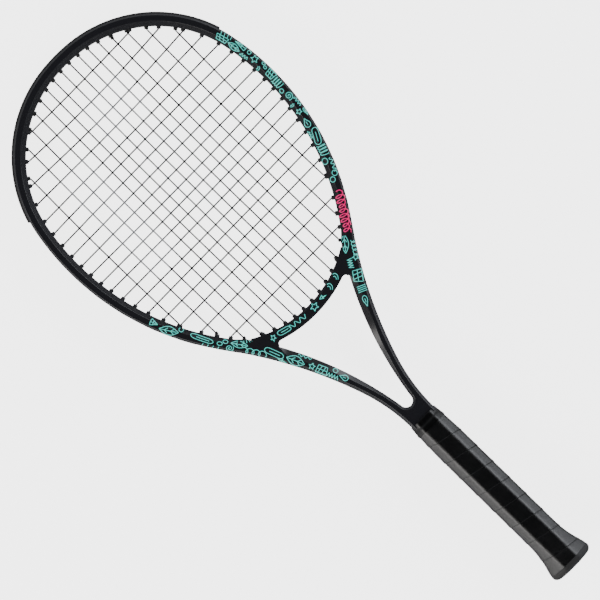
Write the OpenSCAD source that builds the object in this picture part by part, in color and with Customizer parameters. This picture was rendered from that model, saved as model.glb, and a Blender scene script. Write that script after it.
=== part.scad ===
// Tennis racket with a 100 square inch head, strung with 16 mains and 19 crosses.
// The strings lie in the plane z = 0. +Y runs from the butt end to the tip, +X across, +Z out of one face.
// The origin is the middle of the butt end.

/* [Racket] */
// Overall length, from the butt end to the outside of the bumper
overall_length = 685.8; // [684:0.1:688]
// Thickness of the bumper guard outside the frame
bumper_thickness = 1.8; // [1.2:0.1:2.4]

/* [Hoop] */
// Width of the hoop's tube, seen along Z
tube_width = 11.2; // [10.8:0.1:11.8]
// Beam: thickness of the hoop along Z
beam = 24; // [22:0.5:26]
// Centreline radius at the tip
tip_radius = 162.4; // [158:0.1:168]
// Half the turn of the tip arc, in degrees
tip_turn = 6; // [5.5:0.1:6.5]
// Centreline radius of each upper shoulder
shoulder_radius = 123.4; // [122.8:0.1:124]
// Turn of each upper shoulder, in degrees
shoulder_turn = 73.4; // [73:0.1:73.8]
// Centreline radius of each side
side_radius = 254.4; // [253.6:0.1:255.2]
// Turn of each side, in degrees
side_turn = 45.4; // [45.2:0.1:45.6]

/* [Throat] */
// Length of the straight stretch below each side
straight_length = 24; // [23:0.5:25]
// Radius of each shaft's outer edge, upper stretch
shaft_upper_radius = 439; // [436:1:442]
// Turn of that stretch, in degrees
shaft_upper_turn = 16.6; // [16.4:0.1:16.8]
// Radius of each shaft's outer edge, lower stretch
shaft_lower_radius = 181.5; // [180:0.5:183]
// Radius of the throat opening's long edges
throat_edge_radius = 362.2; // [361:0.1:363]
// Thickness of the shafts along Z
shaft_beam = 22; // [21:0.5:23]
// Radius of the bridge's edge on the string side
bridge_radius = 118; // [117.5:0.1:118.5]
// Width of the bridge, seen along Z
bridge_width = 11; // [10.5:0.1:11.5]
// Thickness of the bridge along Z
bridge_beam = 21; // [19:0.5:22]

/* [Strings] */
// Diameter of the string
string_d = 1.3; // [1.2:0.05:1.35]
// How far the grommet barrels stand out inside the hoop
barrel_out = 2.5; // [2:0.1:3]
// Outer diameter of a grommet barrel
barrel_d = 3.4; // [3.2:0.1:3.5]
// Bore of a grommet barrel
barrel_bore = 1.7; // [1.6:0.05:1.8]

/* [Handle] */
// Width of the grip across the strings' plane
grip_w = 34.6; // [33:0.1:36]
// Thickness of the grip along Z
grip_h = 30.2; // [29:0.1:31.5]
// Width of the grip's front and back facets
grip_facet = 17; // [15:0.5:19]
// Thickness of the grip wrap
wrap_t = 1.3; // [1:0.1:1.5]
// Height of the grip wrap's upper end above the butt end
wrap_top = 190; // [188:0.5:191]
// Height of the finishing tape's upper end
tape_top = 200; // [199:0.5:201]
// Greatest width of the butt flare
flare_w = 46.4; // [44:0.1:48]

/* [Hidden] */
$fn = 96;

// String places: distance of each main from the middle, and height of each cross above the butt end
main_x = [5.5, 16.5, 27.3, 38.6, 50.8, 64.5, 79.5, 97.8];
cross_y = [651.5, 634, 616, 599.8, 583.3, 569.3, 555.6, 542.2, 529.3, 517.2, 504.8, 493.2, 480.2, 467.2,
    453.8, 439.2, 423.8, 405.7, 382.2];
mains = len(main_x);
crosses = len(cross_y);
// Lanes of the two strings along Z, and of the strands that run to a tie-off
main_z = 0.7;
cross_z = -0.7;
main_tie_z = 2.1;

// Hoop: arc centres and the angles from +X at which the arcs meet
half_w = tube_width / 2;
tip_y = overall_length - bumper_thickness;
tip_c = [0, tip_y - half_w - tip_radius];
tip_end = 90 - tip_turn;
shoulder_c = tip_c + (tip_radius - shoulder_radius) * [cos(tip_end), sin(tip_end)];
shoulder_end = tip_end - shoulder_turn;
side_c = shoulder_c + (shoulder_radius - side_radius) * [cos(shoulder_end), sin(shoulder_end)];
side_end = shoulder_end - side_turn;
out_dir = [cos(side_end), sin(side_end)];
run_dir = [sin(side_end), -cos(side_end)];
straight_start = side_c + side_radius * out_dir;
straight_end = straight_start + straight_length * run_dir;

// Shafts: circles of the outer edge, which turn back, and of the throat opening's long edge
upper_turn_start = 15;
shaft_upper_c = straight_start + upper_turn_start * run_dir + (half_w + shaft_upper_radius) * out_dir;
shaft_joint_a = side_end + shaft_upper_turn;
shaft_joint = shaft_upper_c - shaft_upper_radius * [cos(shaft_joint_a), sin(shaft_joint_a)];
shaft_lower_c = shaft_joint + shaft_lower_radius * [cos(shaft_joint_a), sin(shaft_joint_a)];
neck_x = shaft_lower_c.x - shaft_lower_radius;
neck_y = shaft_lower_c.y;
throat_c = [throat_edge_radius + 2.3, overall_length - 517.8];
vee_r = 6.4;
vee_y = throat_c.y + 53.9;
shaft_wall = 1.8;

// Bridge: an arc whose centre lies on the axis
bridge_c = [0, overall_length - 217.3];
bridge_outer = bridge_radius + bridge_width;
bridge_groove = 3;

// Section of the hoop's tube: groove in the outer face for the grommet strips
groove_half = 4.6;
groove_floor = half_w - 2.4;
strip_t = 1.2;
strip_gap = 0.1;
lane_off = groove_floor + strip_gap + strip_t + string_d / 2 + 0.05;
hole_gap = 0.2;
tie_barrel_d = barrel_d + 1.4;

// Handle
tube_bottom = 18;
pallet_bottom = 20;
pallet_taper = 165;
pallet_top = 197;
hairpin_x = 12.3;
hairpin_z = 8.2;
hairpin_gap = 0.5;
tape_t = 0.3;
end_w = 31.4;
end_h = 26.8;
cap_top = 30;
lip_top = 7;
door_w = 24;
door_h = 16;
door_t = 1.8;
door_clear = 0.3;

// ---------- functions ----------

// A port is where a string passes the hoop: [barrel tip, outward direction, lane, tie-off lane]
function dir(v) = v / norm(v);
function ring_r(radius) = radius - half_w - barrel_out;
function from_arc(c, p, z, tie) = [p, dir(p - c), z, tie];
function on_straight(t) = straight_start - (half_w + barrel_out) * out_dir + t * run_dir;

function top_port(x, z, tie) =
    let (rt = ring_r(tip_radius), rs = ring_r(shoulder_radius))
    x <= rt * cos(tip_end)
        ? from_arc(tip_c, [x, tip_c.y + sqrt(rt * rt - x * x)], z, tie)
        : from_arc(shoulder_c, [x, shoulder_c.y + sqrt(rs * rs - pow(x - shoulder_c.x, 2))], z, tie);

function side_port_y(y, z, tie) =
    let (rs = ring_r(shoulder_radius), rd = ring_r(side_radius))
    y >= shoulder_c.y + rs * sin(shoulder_end)
        ? from_arc(shoulder_c, [shoulder_c.x + sqrt(rs * rs - pow(y - shoulder_c.y, 2)), y], z, tie)
        : y >= side_c.y + rd * sin(side_end)
            ? from_arc(side_c, [side_c.x + sqrt(rd * rd - pow(y - side_c.y, 2)), y], z, tie)
            : [on_straight((y - on_straight(0).y) / run_dir.y), out_dir, z, tie];

function low_port_x(x, z, tie) =
    let (rd = ring_r(side_radius))
    x >= side_c.x + rd * cos(side_end)
        ? from_arc(side_c, [x, side_c.y - sqrt(rd * rd - pow(x - side_c.x, 2))], z, tie)
        : [on_straight((x - on_straight(0).x) / run_dir.x), out_dir, z, tie];

// The mains pass the bridge straight down, but the fifth leans inwards, because a shaft lies right below it
function bridge_port(x, z, lean) =
    let (r = bridge_radius - barrel_out, p = [x, bridge_c.y - sqrt(r * r - x * x)],
        q = [x - lean, bridge_c.y - sqrt(pow(bridge_outer, 2) - pow(x - lean, 2))])
    [p, dir(q - p), z, undef];

// Ports of the right half, in the order in which they are used
top_ports = [for (i = [0:mains - 1]) top_port(main_x[i], main_z, i == 4 ? cross_z : undef)];
low_ports = [for (i = [0:mains - 1])
    i < 5 ? bridge_port(main_x[i], main_z, i == 4 ? 7.3 : 0)
    : low_port_x(main_x[i], main_z, i == 5 ? main_tie_z : i == 6 ? cross_z : undef)];
side_ports = [for (y = cross_y) side_port_y(y, cross_z, undef)];

function flip(v) = [-v.x, v.y];
function flip_port(p) = [flip(p[0]), flip(p[1]), p[2], p[3]];
// How far past its barrel's tip a string turns into the groove
bridge_lane = bridge_outer - bridge_groove + strip_gap + strip_t + string_d / 2 + 0.05;
function reach(v, d, r) = let (b = v * d) sqrt(b * b - v * v + r * r) - b;
function depth(p) = p[1].y < -0.85 && abs(p[0].x) < 60
    ? reach(p[0] - bridge_c, p[1], bridge_lane)
    : barrel_out + half_w + lane_off;
function outside(p) = p[0] + depth(p) * p[1];

// A loop of string along the groove from port a to port b, as a smooth curve square to both ports
function along(p, q) = let (t = [-p[1].y, p[1].x]) t * (t * (outside(q) - outside(p)) < 0 ? -1 : 1);
function hermite(a, b, ta, tb, t) =
    (2 * t * t * t - 3 * t * t + 1) * a + (t * t * t - 2 * t * t + t) * ta
    + (3 * t * t - 2 * t * t * t) * b + (t * t * t - t * t) * tb;
function loop_points(p, q, za, zb) =
    let (a = outside(p), b = outside(q), l = norm(b - a), ta = along(p, q) * l, tb = -along(q, p) * l)
    [for (t = [0.25, 0.5, 0.75]) let (v = hermite(a, b, ta, tb, t))
        [v.x, v.y, za + (zb - za) * min(1, 2 * t)]];
function at(v, z) = [v.x, v.y, z];
function pass_out(p) = [at(p[0], p[2]), at(outside(p), p[2])];
function pass_in(p) = [at(outside(p), p[2]), at(p[0], p[2])];
function tie_in(p, away) = [at(outside(p), p[3]), at(p[0], p[3]), at(p[0] + 5 * away, p[3])];
function reversed(list) = [for (i = [len(list) - 1:-1:0]) list[i]];
function joined(lists) = [for (l = lists) each l];

// The mains of the right half, from the middle of the loop below the first main to the tie-off
main_route_right = concat(
    [at([0, bridge_c.y - norm(outside(low_ports[0]) - bridge_c)], main_z)],
    joined([for (i = [0:mains - 1])
        let (a = i % 2 == 0 ? low_ports[i] : top_ports[i], b = i % 2 == 0 ? top_ports[i] : low_ports[i],
            next = i % 2 == 0 ? top_ports[i + 1] : low_ports[i + 1])
        i < mains - 1
            ? concat(pass_in(a), pass_out(b), loop_points(b, next, main_z, main_z))
            : concat(pass_in(a), pass_out(b), loop_points(b, low_ports[5], main_z, main_tie_z),
                tie_in(low_ports[5], [0, 1]))]));
main_route = concat(
    [for (v = reversed([for (i = [1:len(main_route_right) - 1]) main_route_right[i]])) [-v.x, v.y, v.z]],
    [for (i = [1:len(main_route_right) - 1]) main_route_right[i]]);

// The crosses, from the tie-off at the top right to the one at the bottom left
function side_of(k, right) = right ? side_ports[k] : flip_port(side_ports[k]);
cross_route = concat(
    reversed(concat(loop_points(side_ports[0], top_ports[4], cross_z, cross_z),
        tie_in(top_ports[4], [0, -1]))),
    joined([for (k = [0:crosses - 1])
        let (to_left = k % 2 == 0, a = side_of(k, to_left), b = side_of(k, !to_left))
        k < crosses - 1
            ? concat(pass_in(a), pass_out(b), loop_points(b, side_of(k + 1, !to_left), cross_z, cross_z))
            : concat(pass_in(a), pass_out(b), loop_points(b, flip_port(low_ports[6]), cross_z, cross_z),
                tie_in(flip_port(low_ports[6]), [0, 1]))]));

// Octagon of the handle as eight [x, z] points
function octagon(w, h, facet) =
    let (c = (w - facet) / 2, x = w / 2, z = h / 2, f = facet / 2, s = z - c * 0.98)
    [[f, -z], [x, -s], [x, s], [f, z], [-f, z], [-x, s], [-x, -s], [-f, -z]];

// Handle stations as [y, width, thickness, facet] of the grip's outside
taper_y = [lip_top, 11, 15, 20, 25, 31, 40, pallet_taper, 180, wrap_top, pallet_top + 3];
taper_w = [flare_w, flare_w - 1, 42.6, 40, 37.9, 36, grip_w + 0.2, grip_w, 33.6, 32.7, end_w];
taper_h = [grip_h + 9, grip_h + 8, grip_h + 6, grip_h + 4.4, grip_h + 2.8, grip_h + 1.2, grip_h, grip_h,
    29.4, 28.4, end_h];
function lerp_table(ys, vs, y, i = 0) =
    y <= ys[0] ? vs[0]
    : i >= len(ys) - 1 ? vs[len(ys) - 1]
    : y <= ys[i + 1] ? vs[i] + (vs[i + 1] - vs[i]) * (y - ys[i]) / (ys[i + 1] - ys[i])
    : lerp_table(ys, vs, y, i + 1);
function station(y, inset) =
    let (w = lerp_table(taper_y, taper_w, y) - 2 * inset, h = lerp_table(taper_y, taper_h, y) - 2 * inset)
    [for (p = octagon(w, h, grip_facet - inset * 0.8)) [p.x, y, p.y]];

// ---------- building blocks ----------

// Tube with eight sides along a route
module cord(route, d) {
    sides = 8;
    n = len(route);
    function flat(v) = [v.x, v.y];
    function step(i) = dir(flat(route[i + 1]) - flat(route[i]));
    rings = [for (i = [0:n - 1])
        let (a = i > 0 ? step(i - 1) : step(0), b = i < n - 1 ? step(i) : step(n - 2),
            m = dir(a + b), across = [m.y, -m.x], grow = 1 / max(0.5, m * a))
        for (k = [0:sides - 1])
            let (u = cos(360 * (k + 0.5) / sides) * d / 2 * grow, v = sin(360 * (k + 0.5) / sides) * d / 2)
            [route[i].x + across.x * u, route[i].y + across.y * u, route[i].z + v]];
    walls = [for (i = [0:n - 2], k = [0:sides - 1])
        let (a = i * sides + k, b = i * sides + (k + 1) % sides) [a, b, b + sides, a + sides]];
    ends = [[for (k = [sides - 1:-1:0]) k], [for (k = [0:sides - 1]) (n - 1) * sides + k]];
    polyhedron(rings, concat(walls, ends));
}

// Solid through rings of eight points at rising heights
module loft(rings) {
    n = len(rings);
    s = len(rings[0]);
    walls = [for (i = [0:n - 2], k = [0:s - 1])
        let (a = i * s + k, b = i * s + (k + 1) % s) each [[a, b, b + s], [a, b + s, a + s]]];
    ends = [[for (k = [s - 1:-1:0]) k], [for (k = [0:s - 1]) (n - 1) * s + k]];
    polyhedron(joined(rings), concat(walls, ends));
}

// Moves in two steps, so that no digit of a long distance is lost
module place(v) {
    whole = [round(v.x), round(v.y)];
    translate(whole) translate(v - whole) children();
}

// Sweeps a section, drawn as [outwards, z] about the tube's centreline, along one arc of the hoop
module arc_sweep(c, radius, from, to) {
    place(c) rotate([0, 0, from]) rotate_extrude(angle = to - from, $fn = 360)
        translate([radius, 0]) children();
}

module straight_sweep(length = straight_length) {
    place(straight_start) rotate([0, 0, side_end]) rotate([90, 0, 0])
        linear_extrude(height = length) children();
}

module both_sides() {
    children();
    mirror([1, 0, 0]) children();
}

module hoop_sweep() {
    both_sides() {
        arc_sweep(tip_c, tip_radius, tip_end, 90) children();
        arc_sweep(shoulder_c, shoulder_radius, shoulder_end, tip_end) children();
        arc_sweep(side_c, side_radius, side_end, shoulder_end) children();
        straight_sweep() children();
    }
}

module tube_section() {
    b = beam / 2;
    polygon([[-half_w, -6.5], [-1.5, -b], [3.8, -b], [half_w, 2 - b], [half_w, -groove_half],
        [groove_floor, -groove_half], [groove_floor, groove_half], [half_w, groove_half], [half_w, b - 2],
        [3.8, b], [-1.5, b], [-half_w, 6.5]]);
}

module tube_void() {
    b = beam / 2 - 1.6;
    polygon([[1.4 - half_w, -6], [-0.8, -b], [1.8, -b], [1.8, b], [-0.8, b], [1.4 - half_w, 6]]);
}

// Plan of the right shaft, made smaller all round by inset, from lap above the hoop's end
module shaft_plan(inset, lap) {
    difference() {
        intersection() {
            place(throat_c) circle(r = throat_edge_radius - inset, $fn = 720);
            place(straight_end) rotate(side_end) translate([-60, lap - 400]) square([90, 400]);
            translate([0, neck_y]) square([120, 250]);
        }
        intersection() {
            place(shaft_upper_c) circle(r = shaft_upper_radius + inset, $fn = 720);
            translate([0, shaft_joint.y]) square([200, 200]);
        }
        intersection() {
            place(shaft_lower_c) circle(r = shaft_lower_radius + inset, $fn = 720);
            translate([0, neck_y - 1]) square([200, shaft_joint.y - neck_y + 1]);
        }
    }
}

module slab(half) {
    translate([0, 0, -half]) linear_extrude(height = 2 * half) children();
}

// A cylinder along a port's direction, from a to b past the barrel's tip
module along_port(p, a, b, d, z) {
    start = p[0] + a * p[1];
    angle = atan2(p[1].y, p[1].x);
    translate([start.x, start.y, z]) rotate([0, 0, angle]) rotate([0, 90, 0])
        cylinder(h = b - a, d = d, $fn = 48);
}

function barrel_z(p) = p[3] == undef ? p[2] : (p[2] + p[3]) / 2;
function barrel_size(p) = p[3] == undef ? barrel_d : tie_barrel_d;

module frame_hole(p, length) {
    along_port(p, -1, length, barrel_size(p) + 2 * hole_gap, barrel_z(p));
}

module barrel(p, length) {
    along_port(p, 0, length, barrel_size(p), barrel_z(p));
}

module bore(p, length) {
    along_port(p, -1.3, length, barrel_bore, p[2]);
    if (p[3] != undef) along_port(p, -1.3, length, barrel_bore, p[3]);
}

// ---------- sub-parts ----------

hoop_ports = concat([for (p = top_ports) p], [for (i = [5:mains - 1]) low_ports[i]], side_ports);
through = barrel_out + tube_width + 4;

module frame() {
    color([0.05, 0.05, 0.06]) difference() {
        union() {
            hoop_sweep() tube_section();
            both_sides() slab(shaft_beam / 2) shaft_plan(0, 1);
            slab(shaft_beam / 2) difference() {
                translate([-neck_x, tape_top - 2]) square([2 * neck_x, vee_y - tape_top + 2]);
                translate([0, vee_y]) circle(r = vee_r);
                both_sides() intersection() {
                    place(shaft_lower_c) circle(r = shaft_lower_radius, $fn = 720);
                    translate([0, neck_y]) square([60, 60]);
                }
            }
            slab(hairpin_z) both_sides() translate([hairpin_gap, tube_bottom])
                square([hairpin_x - hairpin_gap, tape_top - 2 - tube_bottom]);
        }
        hoop_sweep() tube_void();
        both_sides() {
            slab(shaft_beam / 2 - shaft_wall) shaft_plan(shaft_wall, -0.5);
            slab(8) place(straight_end) rotate(side_end) translate([1.6 - half_w, -3]) square([5.4, 6]);
            slab(hairpin_z - 1.6) translate([hairpin_gap + 1.8, tube_bottom - 1])
                square([hairpin_x - hairpin_gap - 3.6, neck_y + 4 - tube_bottom]);
            for (p = hoop_ports) frame_hole(p, through);
            frame_hole(low_ports[4], 24);
        }
    }
}

module throat_bridge() {
    b = bridge_beam / 2;
    g = groove_half - 0.6;
    corner_x = 50.7;
    corner = [corner_x, bridge_c.y - sqrt(pow(bridge_outer, 2) - pow(corner_x, 2))];
    web_r = 3.5;
    web_c = corner - [7.9, 6.9];
    color([0.05, 0.05, 0.06]) difference() {
        union() {
            place(bridge_c) rotate([0, 0, -123]) rotate_extrude(angle = 66, $fn = 360)
                polygon([[bridge_radius, -b + 4], [bridge_radius + 3, -b], [bridge_outer - 2, -b],
                    [bridge_outer, -b + 2], [bridge_outer, -g], [bridge_outer - bridge_groove, -g],
                    [bridge_outer - bridge_groove, g], [bridge_outer, g], [bridge_outer, b - 2],
                    [bridge_outer - 2, b], [bridge_radius + 3, b], [bridge_radius, b - 4]]);
            both_sides() slab(b - 1) difference() {
                polygon([web_c, web_c + [-1.3, 3.25], corner + [0, 2], corner + [2, 0],
                    web_c + [3.06, -1.7]]);
                translate(web_c) circle(r = web_r);
                place(bridge_c) circle(r = bridge_outer - 1, $fn = 360);
            }
        }
        both_sides() {
            slab(beam) place(throat_c) circle(r = throat_edge_radius + 0.02, $fn = 720);
            for (i = [0:3]) frame_hole(low_ports[i], 16);
            frame_hole(low_ports[4], 24);
        }
    }
}

module strip_section() {
    translate([groove_floor + strip_gap, 0.1 - groove_half]) square([strip_t, 2 * groove_half - 0.2]);
    for (s = [0, 1]) mirror([0, s]) translate([groove_floor + strip_gap + strip_t - 0.01, 3.2])
        square([half_w - groove_floor - strip_gap - strip_t, groove_half - 0.1 - 3.2]);
}

// The guard's step on each shoulder, as an angle from +X about the shoulder's centre
bumper_end = 17.3;

function on_bumper(p) = p[1].y > sin(bumper_end);

module bumper_guard() {
    h = 9;
    over = half_w + 0.05;
    color([0.07, 0.07, 0.08]) difference() {
        union() {
            both_sides() {
                arc_sweep(tip_c, tip_radius, tip_end, 90) bumper_section(over, h);
                arc_sweep(shoulder_c, shoulder_radius, bumper_end, tip_end) bumper_section(over, h);
                for (p = hoop_ports) if (on_bumper(p)) barrel(p, barrel_out + half_w + groove_floor + 0.4);
            }
        }
        both_sides() for (p = hoop_ports) if (on_bumper(p)) bore(p, through);
    }
}

module bumper_section(over, h) {
    translate([groove_floor + strip_gap, 0.1 - groove_half]) square([strip_t, 2 * groove_half - 0.2]);
    for (s = [0, 1]) mirror([0, s])
        polygon([[groove_floor + strip_gap + strip_t - 0.01, 3.2], [half_w + bumper_thickness, 3.2],
            [half_w + bumper_thickness, h - 1], [half_w + bumper_thickness - 1, h], [over, h],
            [over, groove_half - 0.1], [groove_floor + strip_gap + strip_t - 0.01, groove_half - 0.1]]);
}

module side_strip() {
    difference() {
        union() {
            arc_sweep(shoulder_c, shoulder_radius, shoulder_end, bumper_end - 0.2) strip_section();
            arc_sweep(side_c, side_radius, side_end, shoulder_end) strip_section();
            straight_sweep(straight_length - 1.2) strip_section();
            for (p = hoop_ports) if (!on_bumper(p)) barrel(p, barrel_out + half_w + groove_floor + 0.4);
        }
        for (p = hoop_ports) if (!on_bumper(p)) bore(p, through);
    }
}

module grommet_strip_right() {
    color([0.06, 0.06, 0.07]) side_strip();
}

module grommet_strip_left() {
    color([0.06, 0.06, 0.07]) mirror([1, 0, 0]) side_strip();
}

module throat_grommet_strip() {
    g = groove_half - 0.7;
    floor_r = bridge_outer - bridge_groove + strip_gap;
    half_angle = 20.4;
    color([0.06, 0.06, 0.07]) difference() {
        union() {
            place(bridge_c) rotate_extrude(angle = 2 * half_angle, start = -90 - half_angle, $fn = 360)
                translate([floor_r, -g]) square([strip_t, 2 * g]);
            both_sides() {
                for (i = [0:3]) barrel(low_ports[i], bridge_width - bridge_groove + barrel_out + 0.5);
                barrel(low_ports[4], 16.8);
            }
        }
        both_sides() for (i = [0:4]) bore(low_ports[i], 24);
    }
}

module main_string() {
    color([0.08, 0.08, 0.08]) cord(main_route, string_d);
}

module cross_string() {
    color([0.08, 0.08, 0.08]) cord(cross_route, string_d);
}

// A knot round a main and the strand that is tied to it, just inside the barrel
module knot(p, away) {
    c = p[0] + 3.4 * away;
    translate([c.x, c.y, barrel_z(p)]) rotate([90, 0, 0])
        cylinder(h = 2.6, r = 1.75, center = true, $fn = 48);
}

module main_string_knots() {
    color([0.08, 0.08, 0.08]) both_sides() knot(low_ports[5], [0, 1]);
}

module cross_string_knots() {
    color([0.08, 0.08, 0.08]) {
        knot(top_ports[4], [0, -1]);
        knot(flip_port(low_ports[6]), [0, 1]);
    }
}

// Both pallets together: the handle's octagon below the wrap, hollow for the hairpin's two tubes
module pallets() {
    stops = [pallet_bottom, 25, 31, 40, pallet_taper, 180, wrap_top, pallet_top];
    difference() {
        intersection() {
            loft([for (y = stops) station(y, wrap_t + 0.05)]);
            translate([-20, pallet_bottom, -20]) cube([40, 200, 40]);
        }
        translate([-hairpin_x - 0.05, pallet_bottom - 1, -hairpin_z - tape_t - 0.05])
            cube([2 * hairpin_x + 0.1, 200, 2 * (hairpin_z + tape_t + 0.05)]);
        butt_recess(0.05);
    }
}

// The pallets' lower end, which the butt cap takes, is this much smaller than the grip
cap_wall = 1.6;

module butt_recess(grow) {
    difference() {
        translate([-30, pallet_bottom - 2, -30]) cube([60, cap_top - pallet_bottom + 2, 60]);
        cap_socket(grow);
    }
}

module cap_socket(less) {
    w = 31 - 2 * less;
    h = 27 - 2 * less;
    translate([0, cap_top + 1, 0]) rotate([90, 0, 0]) linear_extrude(height = cap_top - pallet_bottom + 4)
        polygon(octagon(w, h, 15.6));
}

module pallet_front() {
    color([0.75, 0.7, 0.55]) intersection() {
        pallets();
        translate([-30, 0, 0.05]) cube([60, 250, 40]);
    }
}

module pallet_back() {
    color([0.75, 0.7, 0.55]) intersection() {
        pallets();
        translate([-30, 0, -40.05]) cube([60, 250, 40]);
    }
}

module pallet_tapes() {
    color([0.9, 0.9, 0.85]) for (s = [0, 1]) mirror([0, 0, s])
        translate([1.5 - hairpin_x, pallet_bottom + 2, hairpin_z])
            cube([2 * hairpin_x - 3, pallet_top - pallet_bottom - 12, tape_t]);
}

module tube_plug() {
    translate([hairpin_gap + 1.9, tube_bottom, 1.7 - hairpin_z])
        cube([hairpin_x - hairpin_gap - 3.8, 22, 2 * hairpin_z - 3.4]);
}

module tube_plug_right() {
    color([0.85, 0.85, 0.8]) tube_plug();
}

module tube_plug_left() {
    color([0.85, 0.85, 0.8]) mirror([1, 0, 0]) tube_plug();
}

module butt_cap() {
    rounded = [[0, 5.6, 4.6], [0.5, 3.6, 3], [1.6, 1.9, 1.6], [3.2, 0.7, 0.6], [5, 0.1, 0.1],
        [lip_top, 0, 0]];
    lip = [for (r = rounded)
        [for (p = octagon(flare_w - 2 * r[1], grip_h + 9 - 2 * r[2], grip_facet + 0.6)) [p.x, r[0], p.y]]];
    skirt = [for (y = [lip_top, 11, 15, 20, 25, cap_top]) station(y, wrap_t + 0.05)];
    color([0.06, 0.06, 0.06]) difference() {
        union() {
            loft(lip);
            loft(skirt);
        }
        cap_socket(-0.05);
        translate([-door_w / 2, -1, -door_h / 2]) cube([door_w, door_t + 1, door_h]);
        translate([2 - door_w / 2, -1, 2 - door_h / 2]) cube([door_w - 4, pallet_bottom, door_h - 4]);
    }
}

module butt_cap_door() {
    w = door_w - 2 * door_clear;
    h = door_h - 2 * door_clear;
    color([0.1, 0.1, 0.1]) {
        translate([-w / 2, 0, -h / 2]) cube([w, door_t - 0.05, h]);
        difference() {
            translate([2 - w / 2, door_t - 0.1, 2 - h / 2]) cube([w - 4, 8, h - 4]);
            translate([3.2 - w / 2, door_t - 0.05, 3.2 - h / 2]) cube([w - 6.4, 9, h - 6.4]);
        }
    }
}

// Wire staple: a crown with two legs, on the front face
module staple(y, width, z) {
    translate([-width / 2, y - 0.35, z - 0.5]) cube([width, 0.7, 0.5]);
    for (s = [-1, 1]) translate([s * (width / 2 - 0.35) - 0.35, y - 0.35, z - 5]) cube([0.7, 0.7, 5]);
}

module butt_cap_staples() {
    y = 24;
    z = lerp_table(taper_y, taper_h, y) / 2 - wrap_t - 0.05;
    color([0.7, 0.7, 0.72]) for (s = [0, 1]) mirror([0, 0, s]) staple(y, 9, z);
}

module grip_start_staple() {
    y = 12;
    z = lerp_table(taper_y, taper_h, y) / 2 - wrap_t - 0.05;
    color([0.7, 0.7, 0.72]) staple(y, 7, z);
}

module grip_wrap() {
    stops = [lip_top + 0.1, 11, 15, 20, 25, 31, 40, pallet_taper, 180, wrap_top];
    color([0.12, 0.12, 0.13]) difference() {
        loft([for (y = stops) station(y, 0)]);
        loft(concat([station(lip_top - 1, wrap_t)], [for (y = stops) station(y, wrap_t)],
            [station(wrap_top + 1, wrap_t)]));
    }
}

module finishing_tape() {
    tape = 0.5;
    bottom = wrap_top - 1.5;
    color([0.03, 0.03, 0.03]) difference() {
        loft([for (y = [bottom, wrap_top, wrap_top + 1, pallet_top, tape_top])
            station(y, y > wrap_top ? wrap_t - tape - 0.05 : -tape)]);
        loft([station(bottom - 1, -0.02), station(wrap_top, -0.02), station(wrap_top + 0.9, wrap_t),
            station(pallet_top, wrap_t), station(tape_top + 1, wrap_t)]);
        slab(40) translate([-14.7, pallet_top]) square([29.4, 10]);
    }
}

frame();
throat_bridge();
bumper_guard();
grommet_strip_left();
grommet_strip_right();
throat_grommet_strip();
main_string();
cross_string();
main_string_knots();
cross_string_knots();
pallet_front();
pallet_back();
pallet_tapes();
tube_plug_left();
tube_plug_right();
butt_cap();
butt_cap_door();
butt_cap_staples();
grip_wrap();
grip_start_staple();
finishing_tape();
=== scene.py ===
"""Looks of a strung tennis racket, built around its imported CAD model."""

import logging
import math
from dataclasses import dataclass, field
from enum import Enum
from typing import Callable, Sequence

import bmesh
import bpy
from mathutils import Matrix, Vector


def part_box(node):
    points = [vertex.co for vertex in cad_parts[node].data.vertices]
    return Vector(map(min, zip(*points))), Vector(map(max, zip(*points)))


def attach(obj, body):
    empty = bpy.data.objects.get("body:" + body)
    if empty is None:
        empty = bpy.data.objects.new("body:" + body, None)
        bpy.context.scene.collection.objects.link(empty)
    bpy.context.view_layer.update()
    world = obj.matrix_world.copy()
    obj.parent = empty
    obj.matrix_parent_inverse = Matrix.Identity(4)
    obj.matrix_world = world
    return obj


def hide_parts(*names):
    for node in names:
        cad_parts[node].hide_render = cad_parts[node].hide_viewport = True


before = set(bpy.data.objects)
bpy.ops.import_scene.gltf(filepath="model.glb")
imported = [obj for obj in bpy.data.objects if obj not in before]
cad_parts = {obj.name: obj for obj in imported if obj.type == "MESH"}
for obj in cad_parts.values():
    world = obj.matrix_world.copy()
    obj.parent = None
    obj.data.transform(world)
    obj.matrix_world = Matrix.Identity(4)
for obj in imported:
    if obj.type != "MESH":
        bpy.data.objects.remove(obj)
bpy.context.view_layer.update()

LOG = logging.getLogger("racket")
MM = 0.001
BAND_UNIT = 10.0  # millimetres of grip band for each unit of its UV map
RACKET = "racket"
DOOR = "trap_door"
SOCKET = bpy.types.NodeSocket
Place = Callable[[float, float, float], Vector]


# ---------- helpers for numbers and meshes ----------


def smooth(edge_a: float, edge_b: float, x: float) -> float:
    """Rises smoothly from 0 at edge_a to 1 at edge_b.

    Args:
        edge_a: Where the rise starts.
        edge_b: Where the rise ends.
        x: The place asked for.

    Returns:
        A number from 0 to 1.
    """
    t = min(1.0, max(0.0, (x - edge_a) / (edge_b - edge_a)))
    return t * t * (3.0 - 2.0 * t)


def between(rows: Sequence[Sequence[float]], x: float) -> list[float]:
    """Reads a short table of stations smoothly.

    Args:
        rows: Rows of (place, value, value...), places rising.
        x: The place asked for.

    Returns:
        The values at that place.
    """
    if x <= rows[0][0]:
        return list(rows[0][1:])
    for low, high in zip(rows, rows[1:]):
        if x <= high[0]:
            t = smooth(low[0], high[0], x)
            return [a + (b - a) * t for a, b in zip(low[1:], high[1:])]
    return list(rows[-1][1:])


def both_faces(upper: list[tuple[float, float]]) -> list[tuple[float, float]]:
    """Closes a section by adding the mirror image of its upper half."""
    return upper + [(q, -z) for q, z in reversed(upper)]


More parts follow.
